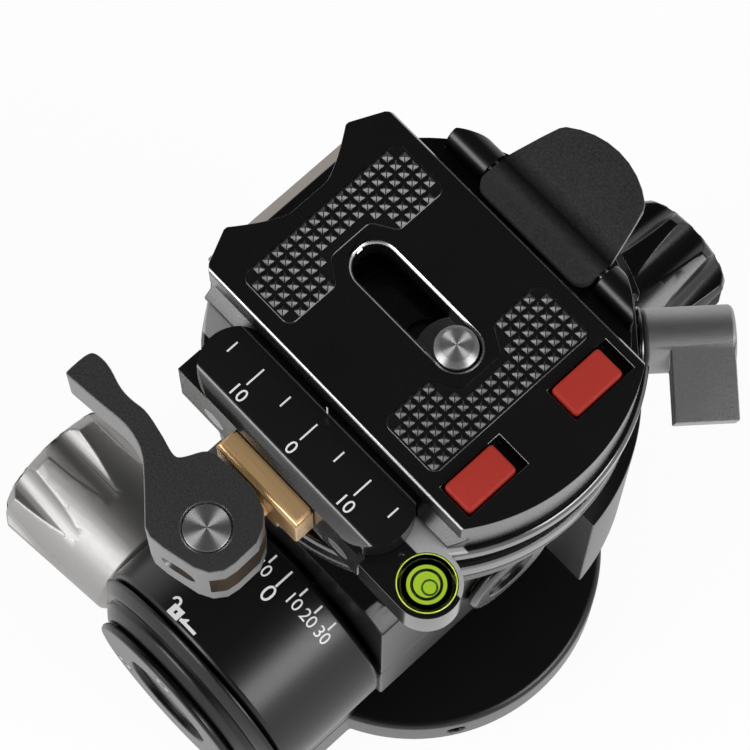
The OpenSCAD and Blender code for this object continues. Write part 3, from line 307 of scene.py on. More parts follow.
def anodised(name, dark, light, rough, metallic=0.0, ior=1.7, grain=4000.0, depth_mm=0.004):
    material, tree, shader = start_material(name)
    marks = place_group(tree, GRAIN, Scale=grain)
    link(tree, tint(tree, marks.outputs["Cloud"], dark, light), shader.inputs["Base Color"])
    link(tree, spread(tree, marks.outputs["Grain"], rough[0], rough[1]), shader.inputs["Roughness"])
    bump(tree, marks.outputs["Grain"], shader, depth_mm)
    shader.inputs["Metallic"].default_value = metallic
    shader.inputs["IOR"].default_value = ior
    return material


def grey(value, warm=0.0):
    return (value * (1 + warm), value, value * (1 - warm))


gloss_black = anodised("gloss_black_anodised", grey(0.002), grey(0.004), (0.14, 0.22), ior=2.5,
                       depth_mm=0.001)
satin_black = anodised("satin_black_anodised", grey(0.002), grey(0.004), (0.20, 0.28), ior=2.0,
                       depth_mm=0.002)
dull_black = anodised("dull_black_anodised", grey(0.003), grey(0.005), (0.28, 0.36), ior=1.45, depth_mm=0.002)
knob_black = anodised("knob_black_anodised", grey(0.003), grey(0.006), (0.20, 0.28), ior=1.5, depth_mm=0.002)
gunmetal = anodised("blasted_gunmetal", grey(0.21), grey(0.26), (0.38, 0.48), metallic=1.0, grain=3200.0,
                    depth_mm=0.010)
pale_gunmetal = anodised("pale_gunmetal", grey(0.34), grey(0.41), (0.50, 0.60), metallic=1.0, grain=3200.0,
                         depth_mm=0.014)
titanium = anodised("titanium_grey", grey(0.34, 0.02), grey(0.39, 0.02), (0.46, 0.54), metallic=1.0,
                    grain=5000.0, depth_mm=0.003)
jaw_black = anodised("jaw_black_anodised", grey(0.006), grey(0.009), (0.20, 0.26), ior=1.6, depth_mm=0.001)
bright_edge = anodised("cut_edge", grey(0.40), grey(0.50), (0.22, 0.32), metallic=1.0, depth_mm=0.002)
warm_cut = anodised("milled_rear_edge", grey(0.24, 0.10), grey(0.28, 0.10), (0.34, 0.44), metallic=1.0,
                    depth_mm=0.003)
print("anodised finishes: 10")

# %% [markdown]
# Turned steel carries fine rings, and what one sees from afar is the bow-tie glint they make. A wave texture
# draws the rings about the piece's own axis. Anisotropy spreads the mirror image across the rings, so it is
# turned a quarter away from the tangent that runs round the axis.
# Brass gets fine straight tool lines, rubber a soft mottle, and the red buttons a moulded skin.

# %% Steel, bronze, brass, rubber and plastic
RING_PITCH_MM = 0.36
RING_DEPTH_MM = 0.012
RING_SCALE = 2 * math.pi / (20 * RING_PITCH_MM * MM)    # a ring wave repeats every 2 pi / 20 at scale 1


def turned_steel(name, dark, light, axis_at):
    """Bright steel with lathe rings about an upright axis, which stands at a point in metres."""
    material, tree, shader = start_material(name)
    marks = place_group(tree, GRAIN, Scale=2500.0)
    link(tree, tint(tree, marks.outputs["Cloud"], dark, light), shader.inputs["Base Color"])
    link(tree, spread(tree, marks.outputs["Grain"], 0.50, 0.58), shader.inputs["Roughness"])
    place = tree.nodes.new("ShaderNodeTexCoord")
    centre = tree.nodes.new("ShaderNodeMapping")
    centre.inputs["Location"].default_value = (-axis_at.x, -axis_at.y, 0)
    rings = tree.nodes.new("ShaderNodeTexWave")
    rings.wave_type = "RINGS"
    rings.rings_direction = "Z"
    rings.inputs["Scale"].default_value = RING_SCALE
    rings.inputs["Detail"].default_value = 0
    link(tree, place.outputs["Object"], centre.inputs["Vector"])
    link(tree, centre.outputs[0], rings.inputs["Vector"])
    bump(tree, rings.outputs["Fac"], shader, RING_DEPTH_MM)
    shader.inputs["Metallic"].default_value = 1.0
    shader.inputs["Anisotropic"].default_value = 0.95
    shader.inputs["Anisotropic Rotation"].default_value = 0.25
    round_axis = tree.nodes.new("ShaderNodeTangent")
    round_axis.direction_type = "RADIAL"
    round_axis.axis = "Z"
    link(tree, round_axis.outputs[0], shader.inputs["Tangent"])
    return material


def tooled_metal(name, dark, light, rough, stretch):
    material, tree, shader = start_material(name)
    marks = place_group(tree, WIPE, Stretch=stretch)
    link(tree, tint(tree, marks.outputs["Lines"], dark, light), shader.inputs["Base Color"])
    link(tree, spread(tree, marks.outputs["Lines"], rough[0], rough[1]), shader.inputs["Roughness"])
    bump(tree, marks.outputs["Lines"], shader, 0.003)
    shader.inputs["Metallic"].default_value = 1.0
    return material


def moulded(name, dark, light, rough, grain, depth_mm):
    material, tree, shader = start_material(name)
    marks = place_group(tree, GRAIN, Scale=grain)
    link(tree, tint(tree, marks.outputs["Cloud"], dark, light), shader.inputs["Base Color"])
    link(tree, spread(tree, marks.outputs["Grain"], rough[0], rough[1]), shader.inputs["Roughness"])
    bump(tree, marks.outputs["Grain"], shader, depth_mm)
    return material


def middle(node):
    low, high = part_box(node)
    return (low + high) / 2


pin_steel = turned_steel("turned_pin_steel", grey(0.52), grey(0.60), middle("lever_pin"))
screw_steel = turned_steel("turned_screw_steel", grey(0.66), grey(0.74), middle("camera_screw"))
machine_steel = tooled_metal("ground_steel", grey(0.42), grey(0.55), (0.25, 0.40), (60, 2500, 2500))
bronze = tooled_metal("machined_bronze", (0.38, 0.24, 0.10), (0.46, 0.31, 0.14), (0.28, 0.42),
                      (2500, 60, 2500))
brass = tooled_metal("satin_brass", (0.60, 0.38, 0.18), (0.70, 0.46, 0.23), (0.26, 0.40), (60, 2500, 2500))
brass.node_tree.nodes["Principled BSDF"].inputs["Metallic"].default_value = 0.55
rubber = moulded("pad_rubber", grey(0.004), grey(0.007), (0.24, 0.34), 3000.0, 0.003)
rubber.node_tree.nodes["Principled BSDF"].inputs["IOR"].default_value = 1.7
red_plastic = moulded("red_plastic", (0.36, 0.024, 0.015), (0.42, 0.030, 0.019), (0.32, 0.44), 2600.0, 0.006)
print("other finishes: 7")

# %% [markdown]
# Printed ticks and digits are white ink with a slightly uneven edge. The spirit level is a clear vial over lime
# fluid: the glass bends what lies below it, and the fluid is given a weak emission, a painted glow under its lid.

# %% Ink, vial and fluid
ink = moulded("white_ink", grey(0.72), grey(0.82), (0.45, 0.60), 6000.0, 0.001)


def clear_glass():
    material, tree, shader = start_material("vial_glass")
    marks = place_group(tree, GRAIN, Scale=300.0)
    link(tree, spread(tree, marks.outputs["Cloud"], 0.01, 0.05), shader.inputs["Roughness"])
    shader.inputs["Base Color"].default_value = (0.95, 1.0, 0.92, 1)
    shader.inputs["Transmission Weight"].default_value = 1.0
    shader.inputs["IOR"].default_value = 1.2
    return material


def lime_fluid():
    material, tree, shader = start_material("lime_fluid")
    marks = place_group(tree, GRAIN, Scale=300.0)
    colour = tint(tree, marks.outputs["Cloud"], (0.62, 0.74, 0.10), (0.68, 0.80, 0.13))
    link(tree, colour, shader.inputs["Base Color"])
    # Painted glow: the fluid emits light in its own colour, though it is no lamp.
    link(tree, colour, shader.inputs["Emission Color"])
    shader.inputs["Emission Strength"].default_value = 0.25
    shader.inputs["Roughness"].default_value = 0.12
    return material


glass = clear_glass()
fluid = lime_fluid()
ring_black = moulded("printed_ring", grey(0.006), grey(0.009), (0.3, 0.4), 3000.0, 0.001)
# Painted shadow: a dark green-black for the fluid's outer band, where the vial's wall shades it.
wall_shadow = moulded("vial_wall", (0.055, 0.075, 0.030), (0.080, 0.105, 0.040), (0.2, 0.3), 2000.0, 0.001)
bubble_green = moulded("bubble_edge", (0.03, 0.13, 0.02), (0.04, 0.16, 0.03), (0.2, 0.3), 2000.0, 0.001)
print("ink, glass and fluid ready")

# %% [markdown]
# A machined part never has a razor edge. Each solid that shows is copied, its loose triangles are merged
# into whole faces, and a bevel takes the edge off. Weighted normals keep the large faces flat beside their
# rounded edges. The copy stands for its solid, and rides on its body.

# %% Rounded copies of the solids
def select_only(piece):
    bpy.ops.object.select_all(action="DESELECT")
    piece.select_set(True)
    bpy.context.view_layer.objects.active = piece


WELD_MM = 0.002
FLAT_DEG = 0.4


def clean_copy(node):
    """A copy of a solid's mesh with whole faces in place of loose triangles."""
    mesh = frame["nodes"][node].data.copy()
    mesh.materials.clear()
    piece = bpy.data.objects.new(node + "_look", mesh)
    scene.collection.objects.link(piece)
    select_only(piece)
    bpy.ops.object.mode_set(mode="EDIT")
    bpy.ops.mesh.select_all(action="SELECT")
    bpy.ops.mesh.remove_doubles(threshold=WELD_MM * MM)
    bpy.ops.mesh.dissolve_degenerate(threshold=WELD_MM * MM)
    bpy.ops.mesh.dissolve_limited(angle_limit=math.radians(FLAT_DEG))
    bpy.ops.object.mode_set(mode="OBJECT")
    bpy.ops.mesh.customdata_custom_splitnormals_clear()
    return piece


SMOOTH_DEG = 35


def round_edges(piece, width_mm, segments=2, angle=28):
    select_only(piece)
    edge = piece.modifiers.new("edges", "BEVEL")
    edge.width = width_mm * MM
    edge.segments = segments
    edge.limit_method = "ANGLE"
    edge.angle_limit = math.radians(angle)
    edge.use_clamp_overlap = False
    bpy.ops.object.modifier_apply(modifier=edge.name)
    settle_normals(piece)


def settle_normals(piece):
    """Smooth walls and flat faces, with the large faces kept flat."""
    select_only(piece)
    bpy.ops.object.shade_smooth_by_angle(angle=math.radians(SMOOTH_DEG))
    level = piece.modifiers.new("flat_faces", "WEIGHTED_NORMAL")
    level.keep_sharp = True
    bpy.ops.object.modifier_apply(modifier=level.name)


def bends(piece):
    """The angle in degrees by which the surface turns over each edge."""
    normals = {}
    for face in piece.data.polygons:
        for key in face.edge_keys:
            normals.setdefault(key, []).append(face.normal.copy())
    return {key: math.degrees(pair[0].angle(pair[1], 0)) for key, pair in normals.items() if len(pair) == 2}


def pick_edges(piece, inside, bend_deg):
    """Selects the edges whose ends pass a test on their place in millimetres and whose bend is in a range."""
    select_only(piece)
    bpy.ops.object.mode_set(mode="EDIT")
    bpy.ops.mesh.select_mode(type="EDGE")
    bpy.ops.mesh.select_all(action="DESELECT")
    bpy.ops.object.mode_set(mode="OBJECT")
    turn_of = bends(piece)
    chosen = 0
    for edge in piece.data.edges:
        held = all(inside(piece.data.vertices[i].co / MM) for i in edge.vertices)
        edge.select = held and bend_deg[0] < turn_of.get(edge.key, 0) < bend_deg[1]
        chosen += edge.select
    print(piece.name, "edges picked:", chosen)
    bpy.ops.object.mode_set(mode="EDIT")


def bevel_where(piece, inside, width_mm, segments, slot=-1, bend_deg=(2, 180)):
    pick_edges(piece, inside, bend_deg)
    bpy.ops.mesh.bevel(offset=width_mm * MM, segments=segments, affect="EDGES", material=slot)
    bpy.ops.mesh.select_mode(type="VERT")
    bpy.ops.object.mode_set(mode="OBJECT")


SEAM_BEND_DEG = (4, 60)
SEAM_SHARE_PCT, SEAM_STEPS = 40, 3


def soften_curves(piece, inside):
    """Rounds the seams between the flat strips of a curved wall, so that its outline looks smooth."""
    pick_edges(piece, inside, SEAM_BEND_DEG)
    bpy.ops.mesh.bevel(offset_type="PERCENT", offset_pct=SEAM_SHARE_PCT, segments=SEAM_STEPS, affect="EDGES")
    bpy.ops.mesh.select_mode(type="VERT")
    bpy.ops.object.mode_set(mode="OBJECT")


def finish_where(piece, slot, inside):
    """Gives another finish to the faces that pass a test on their centre in millimetres and normal."""
    chosen = [face for face in piece.data.polygons if inside(face.center / MM, face.normal)]
    for face in chosen:
        face.material_index = slot
    print(piece.name, "faces with finish", slot, ":", len(chosen))


def stand_for(piece, node):
    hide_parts(node)
    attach(piece, body_of[node])


def dress(node, finish, width_mm):
    piece = clean_copy(node)
    piece.data.materials.append(finish)
    round_edges(piece, width_mm)
    stand_for(piece, node)
    return piece


ROUNDED = [
    (gloss_black, 0.4, ["pan_ring"]),
    (dull_black, 0.4, ["base_disc", "right_pedestal", "yoke_disc", "tilt_housing", "tilt_cover",
                       "tilt_release_ring", "core_lower", "core_upper"]),
    (dull_black, 0.25, ["yoke_cheek_right", "yoke_cheek_left", "fixed_jaw"]),
    (knob_black, 0.25, ["roll_knob"]),
    (satin_black, 0.3, ["shaft_caps", "pan_scale_ring", "pan_lock_washer"]),
    (pale_gunmetal, 0.2, ["pan_lock_lever"]),
    (titanium, 0.3, ["tilt_knob"]),
    (brass, 0.4, ["cam_shoe"]),
    (red_plastic, 0.6, ["left_button", "right_button"]),
    (pin_steel, 0.12, ["lever_pin"]),
    (screw_steel, 0.25, ["camera_screw"]),
]
dressed = {}
for finish, width, nodes in ROUNDED:
    for node in nodes:
        dressed[node] = dress(node, finish, width)
print("rounded copies:", len(dressed))

# %% [markdown]
# Three pieces show more than one cut. The plate's slot and its two long sides have a chamfer that the cutter
# left bright. The scale jaw's long edge is rolled over in a wide soft radius, so it mirrors the table as a
# band. The clamp body's rear edge is milled after anodising and has a warm bare tone. The strip of deck beside the
# dovetail is painted pale grey with a satin roughness; the pale grey is a painted reflection standing for the lit
# flank of a wider dovetail foot.

# %% Plate, scale jaw and clamp body
plate_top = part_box("quick_plate")[1].z
jaw_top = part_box("scale_jaw")[1].z
deck_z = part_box("clamp_body")[1].z
LEVEL_TOL = 0.01
SLOT_HALF_Y = 3.6
SLOT_X = (-15.0, 10.5)
SLOT_CHAMFER, PLATE_EDGE = 0.45, 0.16
CUT_LEAN, CUT_DEPTH = 0.55, 0.6         # a bright cut leans to a side and lies just under the plate's top


def on_slot_rim(p):
    near = abs(p.y) < SLOT_HALF_Y and SLOT_X[0] < p.x < SLOT_X[1]
    return near and abs(p.z - plate_top / MM) < LEVEL_TOL


plate = clean_copy("quick_plate")
plate.data.materials.append(satin_black)
plate.data.materials.append(bright_edge)
bevel_where(plate, on_slot_rim, SLOT_CHAMFER, 1, slot=1)
round_edges(plate, PLATE_EDGE)
finish_where(plate, 1, lambda c, n: min(abs(n.y), n.z) > CUT_LEAN and c.z > plate_top / MM - CUT_DEPTH)
stand_for(plate, "quick_plate")
dressed["quick_plate"] = plate

JAW_CHAMFER = 2.0
JAW_ROLL, JAW_ROLL_STEPS = 1.35, 8
jaw_low_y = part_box("scale_jaw")[0].y / MM


def on_jaw_head(p):
    return abs(p.y - jaw_low_y - JAW_CHAMFER) < LEVEL_TOL and abs(p.z - jaw_top / MM) < LEVEL_TOL


def on_jaw_foot(p):
    return abs(p.y - jaw_low_y) < LEVEL_TOL and abs(p.z - (jaw_top / MM - JAW_CHAMFER)) < LEVEL_TOL


jaw = clean_copy("scale_jaw")
jaw.data.materials.append(jaw_black)
bevel_where(jaw, on_jaw_head, JAW_ROLL, JAW_ROLL_STEPS)
bevel_where(jaw, on_jaw_foot, JAW_ROLL, JAW_ROLL_STEPS)
settle_normals(jaw)
stand_for(jaw, "scale_jaw")
dressed["scale_jaw"] = jaw


def seat_black():
    """Black anodised metal with a pale grey band painted on the strip of deck beside the dovetail, a painted
    reflection of a lit dovetail flank; the band is also rougher.
    """
    material, tree, shader = start_material("black_painted_flank_reflection")
    marks = place_group(tree, GRAIN, Scale=4000.0)
    place = tree.nodes.new("ShaderNodeTexCoord")
    split = tree.nodes.new("ShaderNodeSeparateXYZ")
    link(tree, place.outputs["Object"], split.inputs[0])
    outer = spread(tree, split.outputs["Y"], 0, 1, REFLECTION_BAND_Y[0] * MM, (REFLECTION_BAND_Y[0] + REFLECTION_BAND_FADE) * MM)
    inner = spread(tree, split.outputs["Y"], 1, 0, (REFLECTION_BAND_Y[1] - REFLECTION_BAND_FADE) * MM, REFLECTION_BAND_Y[1] * MM)
    above = spread(tree, split.outputs["Z"], 0, 1, deck_z - 2 * REFLECTION_BAND_FADE * MM, deck_z - REFLECTION_BAND_FADE * MM)
    mask = maths(tree, "MULTIPLY", maths(tree, "MULTIPLY", outer, inner), above)
    dark = tint(tree, marks.outputs["Cloud"], grey(0.003), grey(0.005))
    # Painted reflection: pale grey colour in the band, standing for the lit flank of a wider dovetail foot.
    painted_reflection_tone = tint(tree, marks.outputs["Grain"], grey(0.34), grey(0.42))
    link(tree, blend(tree, mask, dark, painted_reflection_tone), shader.inputs["Base Color"])
    link(tree, spread(tree, mask, 0.16, 0.5, 0, 1), shader.inputs["Roughness"])
    bump(tree, marks.outputs["Grain"], shader, 0.001)
    shader.inputs["IOR"].default_value = 2.1
    return material


# Where the pale band of painted reflection lies on the deck, in millimetres of y, and how wide its fade is.
REFLECTION_BAND_Y, REFLECTION_BAND_FADE = (-22.5, -17.0), 0.2
CLAMP_EDGE = 0.15
clamp = clean_copy("clamp_body")
clamp.data.materials.append(seat_black())
clamp.data.materials.append(warm_cut)
round_edges(clamp, CLAMP_EDGE, angle=40)
REAR_LEAN, REAR_SKEW = 0.6, 0.1         # the rear cut leans back and up, and hardly sideways
finish_where(clamp, 1, lambda c, n: min(-n.x, n.z) > REAR_LEAN and abs(n.y) < REAR_SKEW)
stand_for(clamp, "clamp_body")
dressed["clamp_body"] = clamp
print("cut pieces: 3")

# %% [markdown]
# The clamp lever and the safety tab are blasted gunmetal with curved outlines. The lever's bore has a bright
# chamfer round the pin. The handle's outline is softened first, so that the bevel after it follows a smooth
# curve. The tab's valley has a darker band painted into its colour, as painted shade along the valley.

# %% Clamp lever and safety tab
PIN_R = (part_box("lever_pin")[1].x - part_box("lever_pin")[0].x) / 2 / MM
lever_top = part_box("clamp_lever")[1].z / MM
pin_at = middle("lever_pin") / MM
BORE_RIM, BORE_CHAMFER = 0.6, 0.4
EDGE_ROUND = 0.3
LEVER_SHARP_DEG, TAB_SHARP_DEG = (45, 180), (50, 180)


def on_bore_rim(p):
    return (p.xy - pin_at.xy).length < PIN_R + BORE_RIM and abs(p.z - lever_top) < LEVEL_TOL


def on_lever_top(p):
    return abs(p.z - lever_top) < LEVEL_TOL and (p.xy - pin_at.xy).length > PIN_R + 2 * BORE_RIM


HANDLE_X = -7.5
lever = clean_copy("clamp_lever")
lever.data.materials.append(gunmetal)
lever.data.materials.append(bright_edge)
bevel_where(lever, on_bore_rim, BORE_CHAMFER, 1, slot=1)
soften_curves(lever, lambda p: p.x < HANDLE_X)
bevel_where(lever, on_lever_top, EDGE_ROUND, 2, bend_deg=LEVER_SHARP_DEG)
settle_normals(lever)
stand_for(lever, "clamp_lever")
dressed["clamp_lever"] = lever


def valley_gunmetal():
    """Gunmetal with painted shade: a darker band along the tab's valley."""
    material, tree, shader = start_material("gunmetal_with_painted_valley_shade")
    marks = place_group(tree, GRAIN, Scale=3200.0)
    place = tree.nodes.new("ShaderNodeTexCoord")
    split = tree.nodes.new("ShaderNodeSeparateXYZ")
    link(tree, place.outputs["Object"], split.inputs[0])
    away = maths(tree, "ABSOLUTE", maths(tree, "SUBTRACT", split.outputs["Y"], VALLEY_Y * MM))
    light = spread(tree, away, 0, 1, 0, VALLEY_HALF * MM)
    unshaded_tone = tint(tree, marks.outputs["Cloud"], grey(0.19), grey(0.23))
    # Painted shade: near-black colour along the valley, fading out over VALLEY_HALF on each side.
    painted_shade_tone = tint(tree, marks.outputs["Grain"], grey(0.03), grey(0.04))
    link(tree, blend(tree, light, painted_shade_tone, unshaded_tone), shader.inputs["Base Color"])
    link(tree, spread(tree, marks.outputs["Grain"], 0.38, 0.48), shader.inputs["Roughness"])
    bump(tree, marks.outputs["Grain"], shader, 0.005)
    shader.inputs["Metallic"].default_value = 1.0
    return material


VALLEY_PAST_PIN = 1.2
VALLEY_Y = middle("tab_pin").y / MM + VALLEY_PAST_PIN
VALLEY_HALF = 2.4
WING_FROM = 2.0
tab = clean_copy("safety_tab")
tab.data.materials.append(valley_gunmetal())
bevel_where(tab, lambda p: p.y > VALLEY_Y + WING_FROM, EDGE_ROUND, 2, bend_deg=TAB_SHARP_DEG)
settle_normals(tab)
stand_for(tab, "safety_tab")
dressed["safety_tab"] = tab
print("lever and tab dressed")

# %% [markdown]
# Pieces that hide inside the head keep their exact solids and only take a finish.

# %% Finishes of the inner pieces
INNER = {
    "steel": machine_steel, "bronze": bronze, "brass": brass, "rubber": rubber, "satin_black": satin_black,
    "gloss_black": gloss_black, "gunmetal": gunmetal,
}
inner_count = 0
for node, solid in frame["nodes"].items():
    if node not in dressed and slot_of[node] in INNER:
        solid.data.materials.clear()
        solid.data.materials.append(INNER[slot_of[node]])
        inner_count += 1
print("inner pieces with a finish:", inner_count)

# %% [markdown]
# The rubber pads grip the camera with rows of small pyramids. One pyramid is a four-sided cone with a flat
# tip. It is copied along two grids, and a ray from above leaves out the copies whose foot would not lie
# wholly on a pad.

# %% Grip pads with pyramids
PITCH_X, PITCH_Y = 1.70, 1.757
ROWS_Y = 17
PYRAMID_H = 0.62
PAD_SKIN = 0.02
RIDGE = 0.09
FOOT_R, TIP_R = 0.98, 0.10
PAD_EDGE = 0.12
GRIDS = [(-21.25, 6), (6.05, 7)]


def pyramid(x, y):
    bpy.ops.mesh.primitive_cone_add(vertices=4, radius1=FOOT_R * MM, radius2=TIP_R * MM, depth=PYRAMID_H * MM,
                                    location=(x * MM, y * MM, plate_top + (PAD_SKIN + PYRAMID_H / 2) * MM),
                                    rotation=(0, 0, math.radians(45)))
    cone = bpy.context.object
    bpy.ops.object.transform_apply(location=True, rotation=True, scale=True)
    bpy.ops.object.mode_set(mode="EDIT")
    bpy.ops.mesh.select_all(action="SELECT")
    bpy.ops.mesh.bevel(offset=RIDGE * MM, segments=1, affect="EDGES")
    bpy.ops.object.mode_set(mode="OBJECT")
    return cone


def join(pieces, name):
    bpy.ops.object.select_all(action="DESELECT")
    for piece in pieces:
        piece.select_set(True)
    bpy.context.view_layer.objects.active = pieces[0]
    bpy.ops.object.join()
    bpy.ops.object.transform_apply(location=True, rotation=True, scale=True)
    pieces[0].name = name
    return pieces[0]


pads = clean_copy("grip_pads")
pad_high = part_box("grip_pads")[1].z
FOOT_HALF = 0.62


def on_pad(x, y):
    """True where all four corners of a pyramid's foot lie on the pad."""
    corners = [(x + a * FOOT_HALF, y + b * FOOT_HALF) for a in (-1, 1) for b in (-1, 1)]
    down = Vector((0, 0, -1))
    return all(pads.ray_cast(Vector((a * MM, b * MM, pad_high + MM)), down)[0] for a, b in corners)


bpy.ops.object.select_all(action="DESELECT")
first = pyramid(0, 0)
points = []
for start, rows in GRIDS:
    for i in range(rows):
        for j in range(ROWS_Y):
            x = start + i * PITCH_X
            y = (j - (ROWS_Y - 1) / 2) * PITCH_Y
            if on_pad(x, y):
                points.append((x, y))
cones = []
for x, y in points:
    cone = first.copy()
    cone.data = first.data.copy()
    cone.location = (x * MM, y * MM, 0)
    scene.collection.objects.link(cone)
    cones.append(cone)
bpy.data.objects.remove(first)

PAD_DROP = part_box("grip_pads")[1].z - plate_top - PAD_SKIN * MM
for vertex in pads.data.vertices:
    if vertex.co.z > plate_top:
        vertex.co.z -= PAD_DROP
round_edges(pads, PAD_EDGE, 1)
pads = join([pads] + cones, "grip_pads_look")
pads.data.materials.clear()
pads.data.materials.append(rubber)
stand_for(pads, "grip_pads")
print("pyramids:", len(points))

# %% [markdown]
# Scales are printed in white. A tick is a thin bar and a number is a text object turned into a mesh. On the drum
# and on the pan ring the print has to follow a round surface, so it is first drawn flat and then bent round by
# moving each point to its angle. The drum's print is cut fine before it is bent.

# %% Print helpers
INK_T = 0.03


def bar(x, y, w, h):
    """A flat printed bar in the XY plane, in millimetres."""
    bpy.ops.object.select_all(action="DESELECT")
    bpy.ops.mesh.primitive_cube_add(size=1, location=(x * MM, y * MM, 0),
                                    scale=(w * MM, h * MM, 2 * INK_T * MM))
    bpy.ops.object.transform_apply(location=True, rotation=True, scale=True)
    return bpy.context.object


def number(text, x, y, size):
    bpy.ops.object.select_all(action="DESELECT")
    bpy.ops.object.text_add(location=(x * MM, y * MM, 0))
    label = bpy.context.object
    label.data.body = text
    label.data.align_x = "CENTER"
    label.data.align_y = "CENTER"
    label.data.size = size * MM
    label.data.resolution_u = 4
    label.data.extrude = INK_T * MM
    bpy.ops.object.convert(target="MESH")
    label = bpy.context.object
    bpy.ops.object.transform_apply(location=True, rotation=True, scale=True)
    return label


def printed(pieces, name, body):
    piece = join(pieces, name)
    piece.data.materials.clear()
    piece.data.materials.append(ink)
    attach(piece, body)


def move_points(piece, rule):
    for vertex in piece.data.vertices:
        vertex.co = rule(vertex.co)


print("ink thickness:", INK_T, "mm")

# %% [markdown]
# The scale jaw has seven ticks, and every other one carries a number. The plate's edge has one tick that
# runs along this scale.

# %% Jaw scale and plate index
TICK_STEP = 5.5
TICK_W = 0.26
LONG_TICK = (-24.2, -20.9)
SHORT_TICK = (-22.9, -20.9)
NUMBER_Y, NUMBER_SIZE = -25.9, 2.9
marks = []
for i in range(-3, 4):
    ends = SHORT_TICK if i % 2 else LONG_TICK
    marks.append(bar(i * TICK_STEP, (ends[0] + ends[1]) / 2, TICK_W, ends[1] - ends[0]))
for i, text in ((-2, "10"), (0, "0"), (2, "10")):
    marks.append(number(text, i * TICK_STEP, NUMBER_Y, NUMBER_SIZE))
jaw_scale = join(marks, "jaw_scale")
move_points(jaw_scale, lambda p: p + Vector((0, 0, jaw_top)))
printed([jaw_scale], "jaw_scale", "jaw")

plate_low_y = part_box("quick_plate")[0].y
INDEX_X, INDEX_LONG, INDEX_DROP = 0.0, 2.6, 2.1
index = bar(INDEX_X, 0, TICK_W, INDEX_LONG)
move_points(index, lambda p: Vector((p.x, plate_low_y + p.z, plate_top - INDEX_DROP * MM + p.y)))
printed([index], "plate_index", "plate")
print("jaw scale and plate index printed")

# %% [markdown]
# The tilt drum is read from above. Its print is laid out flat, with x as the distance round the drum and y
# along its axis, and then wrapped. The zero has a longer tick and a larger figure than the others.

# %% Drum scale
tilt = next(j for j in frame["joints"] if j["name"] == "tilt")
drum_axis_z = tilt["pos_m"][2]
DRUM_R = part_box("tilt_housing")[1].z / MM - drum_axis_z / MM
ZERO_AT = 2.06
STEP_10 = 3.55


def wrap_on_drum(p):
    radius = DRUM_R * MM + p.z
    angle = p.x / (DRUM_R * MM)
    return Vector((radius * math.sin(angle), p.y, drum_axis_z + radius * math.cos(angle)))


def cut_fine(piece, cuts):
    select_only(piece)
    bpy.ops.object.mode_set(mode="EDIT")
    bpy.ops.mesh.select_all(action="SELECT")
    bpy.ops.mesh.quads_convert_to_tris()
    bpy.ops.mesh.subdivide(number_cuts=cuts)
    bpy.ops.object.mode_set(mode="OBJECT")


DRUM_TICK_Y, DRUM_TICK_W = -29.0, 0.36
ZERO_MARK = (3.5, -34.2, 4.1)           # tick length, place and size of the figure
OTHER_MARK = (1.7, -32.0, 3.0)
marks = []
for i in range(-3, 4):
    s = ZERO_AT + i * STEP_10
    length, figure_y, figure_size = ZERO_MARK if i == 0 else OTHER_MARK
    marks.append(bar(s, DRUM_TICK_Y - length / 2, DRUM_TICK_W, length))
    marks.append(number(str(abs(i) * 10), s, figure_y, figure_size))
drum_scale = join(marks, "drum_scale")
cut_fine(drum_scale, 1)
move_points(drum_scale, wrap_on_drum)
printed([drum_scale], "drum_scale", "base")
print("drum scale printed")

# %% [markdown]
# An open padlock with an arrow shows which way the release ring turns. It is put together from bars, half a
# torus for the bow and a barb, and wrapped on the drum like the scale.

# %% Release sign
LOCK_AT = (-5.7, -46.4)
LOCK_W, LOCK_H = 2.4, 1.9
BOW_AT = (-7.0, -45.2)
BOW_R, BOW_T = 0.75, 0.22
SHAFT_AT, SHAFT_LONG, SHAFT_T = (-2.55, -46.7), 3.5, 0.55
BARB_LONG, BARB_H, BARB_BACK = 1.2, 0.9, 1.0
HOLE_W, HOLE_H = 0.5, 0.6


def frame_of_bars(x, y, w, h, hole_w, hole_h):
    """A plate with a hole, put together from four bars."""
    side = (w - hole_w) / 2
    rim = (h - hole_h) / 2
    return [bar(x - (w - side) / 2, y, side, h), bar(x + (w - side) / 2, y, side, h),
            bar(x, y - (h - rim) / 2, hole_w, rim), bar(x, y + (h - rim) / 2, hole_w, rim)]


def shackle():
    """The open bow of a padlock: half a ring with one leg that goes down to the body."""
    bpy.ops.object.select_all(action="DESELECT")
    bpy.ops.mesh.primitive_torus_add(major_radius=BOW_R * MM, minor_radius=BOW_T * MM, major_segments=32,
                                     minor_segments=6, location=(BOW_AT[0] * MM, BOW_AT[1] * MM, 0))
    bow = bpy.context.object
    bpy.ops.object.transform_apply(location=True, rotation=True, scale=True)
    bpy.ops.object.mode_set(mode="EDIT")
    bpy.ops.mesh.select_all(action="SELECT")
    bpy.ops.mesh.bisect(plane_co=(0, BOW_AT[1] * MM, 0), plane_no=(0, 1, 0), clear_inner=True, use_fill=True)
    bpy.ops.object.mode_set(mode="OBJECT")
    for vertex in bow.data.vertices:
        vertex.co.z *= INK_T / BOW_T
    leg = BOW_AT[1] - LOCK_AT[1] - LOCK_H / 2
    return [bow, bar(BOW_AT[0] + BOW_R, BOW_AT[1] - leg / 2, 2 * BOW_T, leg + BOW_T)]


